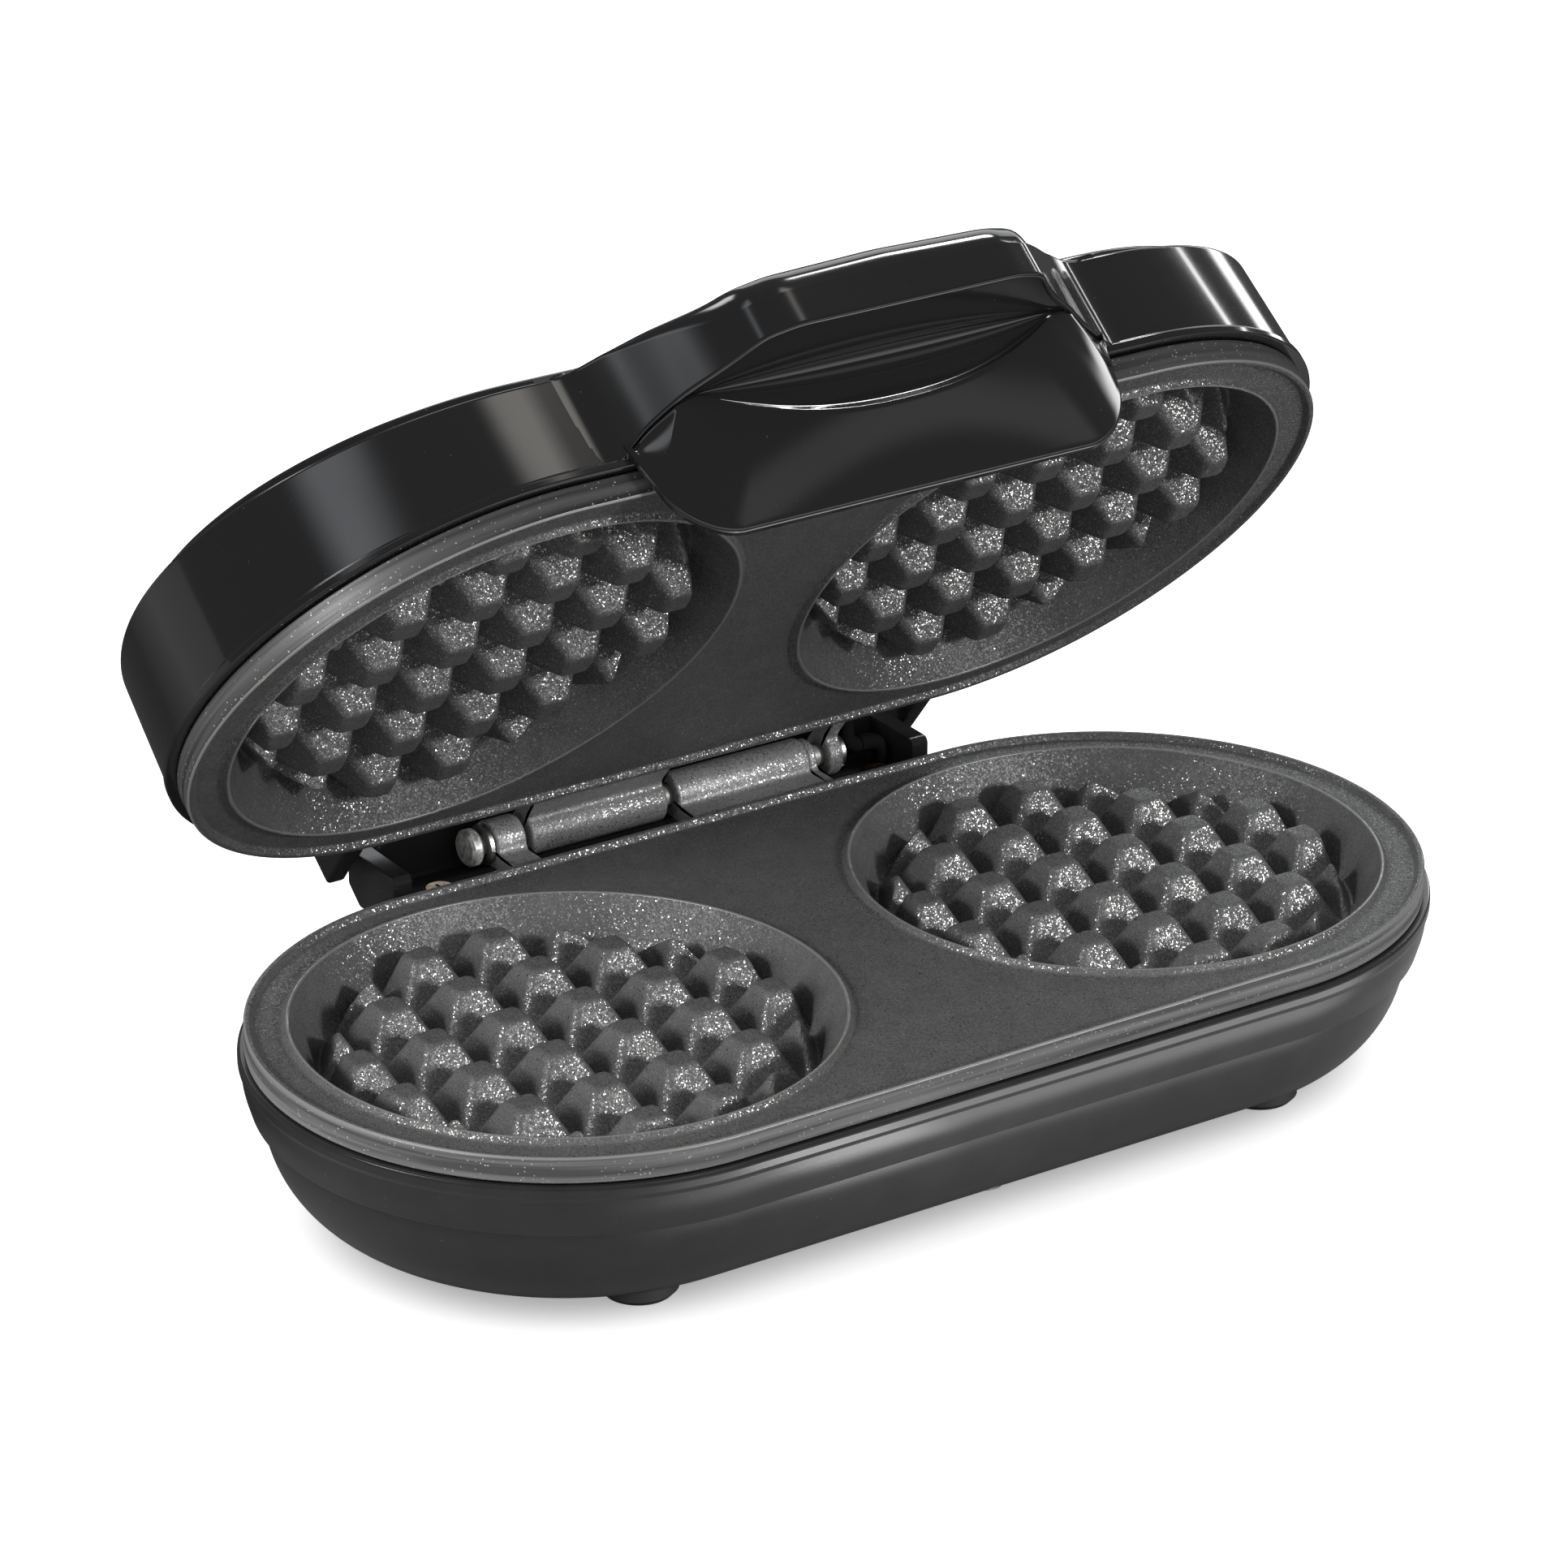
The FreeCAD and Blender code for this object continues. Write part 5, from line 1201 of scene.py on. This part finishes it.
def cover_mesh(s):
    """Arched cover that lies on the roof, with a rounded edge."""
    crest, edge = COVER_HIGH[2], s.cover_edge
    bends = [(COVER_R - 3 * MM, s.roof, s.cover_gap), (COVER_R - 0.3 * MM, s.roof, s.cover_gap),
             (COVER_R, s.roof, s.cover_gap + 0.3 * MM)]
    bends += [(COVER_R - 0.5 * MM - edge * (1 - math.cos(a)), crest, -edge * (1 - math.sin(a)))
              for a in np.linspace(0, math.pi / 2, 8)]
    bends += [(r, crest, 0.0) for r in np.linspace(COVER_R - edge - 1.0 * MM, 0.5 * MM, 16)]
    rows = []
    for r, top, lift in bends:
        plan = stadium(r)
        rows.append(lifted(plan, arch(plan[:, 1], top) + lift))
    return capped(rows, "cover")


class WAFFLE_OT_cover(bpy.types.Operator):
    """Make the arched cover on top of the lid"""
    bl_idname = "waffle.cover"
    bl_label = "Lid Cover"

    def execute(self, context):
        make_piece("lid_top_cover", cover_mesh(context.scene.waffle_lid), ["lid_plastic"], LID,
                   ["lid_cover"], LID_PLACE, sharp_degrees=40)
        return {"FINISHED"}


# ---------------------------------------------------------------- handle
def skirt_outline(u, h, inset):
    """Point on the skirt's lower outline: u runs from -1 at its left top to 1 at its right top."""
    half, low, corner = h.half - inset, GRIP_LOW[2] + inset, h.corner - inset
    side_top = 8.8 * MM
    bottom, bend = half - corner, corner * math.pi / 2
    side = side_top - (low + corner)
    travel = np.abs(u) * (bottom + bend + side)
    angle = np.clip((travel - bottom) / corner, 0, math.pi / 2)
    x = np.minimum(travel, bottom) + corner * np.sin(angle)
    w = low + corner * (1 - np.cos(angle)) + np.maximum(travel - bottom - bend, 0)
    spread = 1 - h.taper + (h.taper + h.flare) * (w - low) / (side_top - low)
    return np.sign(u) * x * spread, w


# Lower edge of the finger pocket, from the middle outwards: x and how far out it is
ARC = np.array([(0, 69.7), (36, 69.6), (40, 69.0), (44, 67.9), (46.5, 67.0), (48, 66.4), (48.9, 65.4),
                (60, 65.0)]) * MM


def arc_edge(x, h):
    """Crisp lower edge of the finger pocket, and of the skirt's top beyond its tips: out, height."""
    x = np.abs(x)
    reach, _, low = fairing_at(x)
    w = h.arc_low + (h.shelf - h.arc_low) * (x / h.tip_x) ** 2.2
    w = smooth_min(w, low - 0.35 * MM, 0.8 * MM)
    out = eased(x, ARC[:, 0], ARC[:, 1], 1.0 * MM)
    return np.minimum(out, reach - 0.9 * MM), w


HANDLE_STEPS = 241
ROLL_START = math.radians(28)           # where the skirt's face runs into its rolled edge


def handle_column(u, h):
    """Section of the insert at u: down the pocket's wall and the skirt, round its edge and up behind."""
    x = u * h.half * (1 + h.flare * u ** 4)
    reach, _, low = fairing_at(x)
    out, edge_w = arc_edge(x, h)
    seam, under = reach - h.rim - 0.12 * MM, low + 0.45 * MM
    wall_h = under - edge_w
    pocket = [(seam, under + 0.45 * MM, 0), (seam, under, 0.35 * MM),
              (min(out - 0.7 * MM, seam - 0.05 * MM), under, 0.62 * wall_h),
              (min(out - 0.7 * MM, seam - 0.06 * MM), edge_w + 0.16 * wall_h, 1.2 * MM),
              (out, edge_w + 0.03 * wall_h, 0.3 * MM), (out + 0.1 * MM, edge_w, 0)]
    column = [(x, -o, w) for o, w in rounded_path(pocket, 9)]
    edge_back = h.back + 0.6 * MM

    def edge_point(a):
        px, pw = skirt_outline(u, h, h.roll * (1 - math.sin(a)))
        return px, -(edge_back + h.roll * math.cos(a)), pw

    start = np.array([x, -(out + 0.05 * MM), edge_w - 0.3 * MM])
    end = np.array(edge_point(ROLL_START))
    swell = h.bulge * min(1.0, np.linalg.norm(end - start) / (14 * MM))
    for t in np.linspace(0, 1, 25):
        point = start + (end - start) * t
        point[1] -= 4 * t * (1 - t) * swell
        column.append(tuple(point))
    column += [edge_point(a) for a in np.linspace(ROLL_START, math.pi / 2, 6)[1:]]
    px, pw = skirt_outline(u, h, 0)
    roof = under + 1.8 * MM
    return column + [(px, -h.back, pw), (x, -h.back, roof), (x, -(seam + h.back) / 2, roof),
                     (x, -seam, roof)]


class WAFFLE_OT_handle(bpy.types.Operator):
    """Make the handle's insert: finger shelf, pocket and skirt"""
    bl_idname = "waffle.handle"
    bl_label = "Handle"

    def execute(self, context):
        h = context.scene.waffle_handle
        columns = [handle_column(u, h) for u in np.linspace(-1, 1, HANDLE_STEPS)]
        make_piece("handle_insert", capped(columns, "handle"), ["lid_plastic"], LID,
                   ["handle_grip"], LID_PLACE, sharp_degrees=36)
        return {"FINISHED"}


# ---------------------------------------------------------------- nodes that keep their CAD shape
SOFTENED = {"hinge_pin": 0.1, "hinge_head_washer": 0.15, "hinge_end_clip": 0.12, "channel_screws": 0.2,
            "foot_front_left": 0.5, "foot_front_right": 0.5, "foot_rear_left": 0.5, "foot_rear_right": 0.5,
            "power_lamp_lens": 0.2, "ready_lamp_lens": 0.2, "lower_plate_screws": 0.25,
            "foot_screws": 0.2, "cord_grommet": 0.3}


class WAFFLE_OT_carried_nodes(bpy.types.Operator):
    """Give the pieces that keep their CAD shape a finish and softened edges"""
    bl_idname = "waffle.carried_nodes"
    bl_label = "Screws, Feet, Hinge Pin and Inner Parts"

    def execute(self, context):
        for name, piece in frame["nodes"].items():
            slots = [m.name.split(".")[0] for m in piece.data.materials if m]
            finish = next((slot for slot in slots if slot in FINISHES), None)
            if finish is None:
                raise RuntimeError(name + " has no finish")
            for i in range(len(piece.data.materials)):
                piece.data.materials[i] = FINISHES[finish]()
            if name in SOFTENED:
                bevel = piece.modifiers.new("edge", "BEVEL")
                bevel.width, bevel.segments = SOFTENED[name] * MM, 3
                bevel.limit_method, bevel.angle_limit = "ANGLE", math.radians(40)
                bevel.harden_normals = True
        return {"FINISHED"}


# ---------------------------------------------------------------- stage
def look_direction(azimuth, elevation):
    """From the object towards a viewer."""
    return Vector((math.sin(azimuth) * math.cos(elevation), -math.cos(azimuth) * math.cos(elevation),
                   math.sin(elevation)))


def placed(name, data, location, toward):
    """Lamp or camera whose back is turned toward a direction."""
    item = bpy.data.objects.new(name, data)
    item.location = location
    item.rotation_euler = toward.to_track_quat("Z", "Y").to_euler()
    bpy.context.scene.collection.objects.link(item)
    return item


def soft_box(name, size, power, tint, location, toward):
    """Rectangular area light."""
    data = bpy.data.lights.new(name, "AREA")
    data.shape, data.size, data.size_y = "RECTANGLE", size[0], size[1]
    data.energy, data.color = power, tint
    return placed(name, data, location, toward)


def feather(lamp):
    """Let an area light fade out towards its sides, and keep it from the camera."""
    lamp.visible_camera = False
    lamp.data.use_nodes = True
    t = Tree(lamp.data.node_tree)
    emission = next(node for node in t.tree.nodes if node.type == "EMISSION")
    place = t.add("ShaderNodeSeparateXYZ", Vector=t.add("ShaderNodeNewGeometry").outputs["Parametric"])
    fade = 1.0
    for side in (0, 1):
        inward = t.math("SUBTRACT", 0.5, t.math("ABSOLUTE", t.math("SUBTRACT", place.outputs[side], 0.5)))
        soft = t.add("ShaderNodeMapRange", interpolation_type="SMOOTHSTEP", Value=inward, From_Max=FADE)
        fade = t.math("MULTIPLY", soft.outputs[0], fade)
    t.wire(emission, Strength=fade)


def tie_light(lamp, items, state, side="receiver"):
    """Let a light reach, or be shaded by, only some items or everything but them."""
    tied = bpy.data.collections.new(lamp.name + "_" + side)
    for item in items:
        tied.objects.link(item)
    for entry in tied.collection_objects:
        entry.light_linking.link_state = state
    setattr(lamp.light_linking, side + "_collection", tied)


WHITE = (1.0, 1.0, 1.0)
# Soft boxes that face the object: azimuth and elevation in degrees, distance, size, the setting that
# gives their power and their share of it, their tint, and what they light.  Those that light the
# glossy pieces, all of them or one, are feathered.
LAMPS = {
    "key_right": (24, 20, 2.0, (0.28, 0.28), "key", 4, WHITE, "coated"),
    "key_left": (-82, 26, 2.0, (0.28, 0.28), "side", 4, WHITE, "coated"),
    "key_right_lid": (24, 20, 2.0, (0.28, 0.28), "key", 2.4, WHITE, "upper_plate"),
    "key_left_lid": (-82, 26, 2.0, (0.28, 0.28), "side", 4, WHITE, "upper_plate"),
    "side_fill": (-100, 17, 2.0, (1.5, 1.2), "side", 9, WHITE, "matt"),
    "sheen_rear": (142, 24, 2.0, (1.6, 0.9), "strip", 1.4, (0.94, 0.97, 1.0), "pieces"),
    "strip_left": (-94, 52, 2.0, (0.6, 1.2), "strip", 0.9, (0.90, 0.94, 1.0), "glossy"),
    "strip_top": (72, 72, 1.8, (0.6, 0.7), "strip", 0.75, (1.0, 0.96, 0.90), "glossy"),
    "strip_line": (104, 26, 1.8, (0.06, 1.2), "strip", 0.55, WHITE, "glossy"),
    "strip_rear": (117, 5, 1.8, (0.26, 1.2), "strip", 1.2, WHITE, "glossy"),
    "strip_rim": (126, 47, 2.0, (0.5, 0.3), "strip", 5.0, WHITE, "glossy"),
    "skirt_glint": (91, 15, 2.0, (1.2, 1.0), "strip", 6, WHITE, "handle_insert"),
    "lip_glint": (-106, 42, 2.0, (0.5, 0.9), "strip", 4, WHITE, "base_casing"),
    "skirt_sheen": (36, 26, 2.0, (1.3, 0.8), "strip", 0.3, WHITE, "handle_insert"),
    "roof_glint": (-150, 38, 2.0, (0.9, 0.5), "strip", 2.5, WHITE, "lid_moulding"),
}
AIM = Vector((0, 0, 0.06))
FADE = 0.35     # share of its size over which a feathered lamp fades
# Cards that lie on the floor before the casing: x, width and share of the strip lights' power
FLOOR_CARDS = ((0.06, 0.34, 0.085), (-0.012, 0.045, 0.02))
CARD_Y, CARD_Z, CARD_DEPTH = -0.116, 0.001, 0.09
FLOOR_HALF, FLOOR_Z = 6, -0.0002
SUN_ANGLE = math.radians(120)
SENSOR = 36.0   # width of the camera's sensor, in millimetres


def studio_floor(scene):
    """Wide floor just under the object's feet."""
    mesh = bpy.data.meshes.new("floor")
    plan = rectangle(-FLOOR_HALF, FLOOR_HALF, -FLOOR_HALF, FLOOR_HALF)
    mesh.from_pydata([(x, y, 0) for x, y in plan], [], [(0, 1, 2, 3)])
    mesh.materials.append(white_floor("white_floor")())
    floor = bpy.data.objects.new("floor", mesh)
    floor.location.z = FLOOR_Z
    scene.collection.objects.link(floor)
    return floor


def studio_world(scene, s):
    """White all round to the camera and to matt surfaces, and dim as seen in the gloss."""
    world = bpy.data.worlds.new("studio")
    world.use_nodes = True
    t = Tree(world.node_tree)
    path = t.add("ShaderNodeLightPath").outputs
    around = t.math("MAXIMUM", t.math("MULTIPLY", path["Is Diffuse Ray"], s.sky), s.gloss_sky)
    t.wire(world.node_tree.nodes["Background"], Color=(1, 1, 1, 1),
           Strength=t.math("MAXIMUM", path["Is Camera Ray"], around))
    scene.world = world


def studio_lamps(scene, s, floor):
    """Every lamp, with the items that it lights."""
    pieces = {item.name: item for item in scene.objects if item.type == "MESH" and item.data.materials}
    glossy = ("piano_black", "satin_black")
    shiny = [item for item in pieces.values() if item.data.materials[0].name in glossy]
    upper = pieces["upper_waffle_plate_casting"]
    reached = {"coated": (shiny + [floor, upper], "EXCLUDE"), "upper_plate": ([upper], "INCLUDE"),
               "matt": (shiny + [floor], "EXCLUDE"), "pieces": ([floor], "EXCLUDE"),
               "glossy": (shiny, "INCLUDE")}
    reached.update({item.name: ([item], "INCLUDE") for item in shiny})
    lamps = {}
    for name, (azimuth, elevation, distance, size, setting, share, tint, lit) in LAMPS.items():
        toward = look_direction(math.radians(azimuth), math.radians(elevation))
        lamp = soft_box(name, size, getattr(s, setting) * share, tint, AIM + toward * distance, toward)
        if lit == "glossy" or lit in pieces:
            feather(lamp)
        tie_light(lamp, *reached[lit])
        lamps[name] = lamp
    for x, wide, share in FLOOR_CARDS:
        card = soft_box("floor_card", (wide, CARD_DEPTH), s.strip * share, WHITE,
                        Vector((x, CARD_Y, CARD_Z)), Vector((0, 0, -1)))
        feather(card)
        tie_light(card, *reached["glossy"])
    lamps["side_fill"].visible_glossy = False
    tie_light(lamps["strip_rim"], [pieces["lid_moulding"], pieces["handle_insert"]], "EXCLUDE", "blocker")
    light = bpy.data.lights.new("floor_light", "SUN")
    light.energy, light.angle = s.floor_light, SUN_ANGLE
    tie_light(placed("floor_light", light, Vector((0, 0, 2)), Vector((0, 0, 1))), [floor], "INCLUDE")


class WAFFLE_OT_stage(bpy.types.Operator):
    """Make the floor, the studio light and the camera"""
    bl_idname = "waffle.stage"
    bl_label = "Studio"

    def execute(self, context):
        scene = context.scene
        s = scene.waffle_stage
        floor = studio_floor(scene)
        studio_world(scene, s)
        studio_lamps(scene, s, floor)
        scene.view_settings.view_transform = "Standard"
        data = bpy.data.cameras.new("camera")
        data.lens, data.sensor_width = s.lens, SENSOR
        toward = look_direction(s.azimuth, s.elevation)
        scene.camera = placed("camera", data, Vector(s.target) + toward * s.distance, toward)
        return {"FINISHED"}


# ---------------------------------------------------------------- add-on
class WAFFLE_PT_panel(bpy.types.Panel):
    """Lists the waffle maker's pieces"""
    bl_idname = "WAFFLE_PT_panel"
    bl_label = "Waffle Maker"
    bl_space_type = "VIEW_3D"
    bl_region_type = "UI"
    bl_category = "Waffle Maker"

    def draw(self, context):
        for operator in OPERATORS:
            self.layout.operator(operator.bl_idname)
        for name, group in SETTINGS.items():
            box = self.layout.box()
            box.label(text=group.__name__)
            for size in group.__annotations__:
                box.prop(getattr(context.scene, name), size)


SETTINGS = {
    "waffle_finishes": WaffleFinishes, "waffle_plate": WafflePlateSizes, "waffle_hinge": WaffleHingeSizes,
    "waffle_casing": WaffleCasingSizes, "waffle_lid": WaffleLidSizes, "waffle_handle": WaffleHandleSizes,
    "waffle_stage": WaffleStage,
}
OPERATORS = [WAFFLE_OT_carried_nodes, WAFFLE_OT_plates, WAFFLE_OT_casing, WAFFLE_OT_lid,
             WAFFLE_OT_cover, WAFFLE_OT_handle, WAFFLE_OT_stage]


def register():
    for name, group in SETTINGS.items():
        bpy.utils.register_class(group)
        setattr(bpy.types.Scene, name, PointerProperty(type=group))
    for item in OPERATORS + [WAFFLE_PT_panel]:
        bpy.utils.register_class(item)


def unregister():
    for item in [WAFFLE_PT_panel] + OPERATORS[::-1]:
        bpy.utils.unregister_class(item)
    for name, group in SETTINGS.items():
        delattr(bpy.types.Scene, name)
        bpy.utils.unregister_class(group)


def main():
    register()
    for operator in OPERATORS:
        family, action = operator.bl_idname.split(".")
        getattr(getattr(bpy.ops, family), action)()


if __name__ == "__main__":
    main()
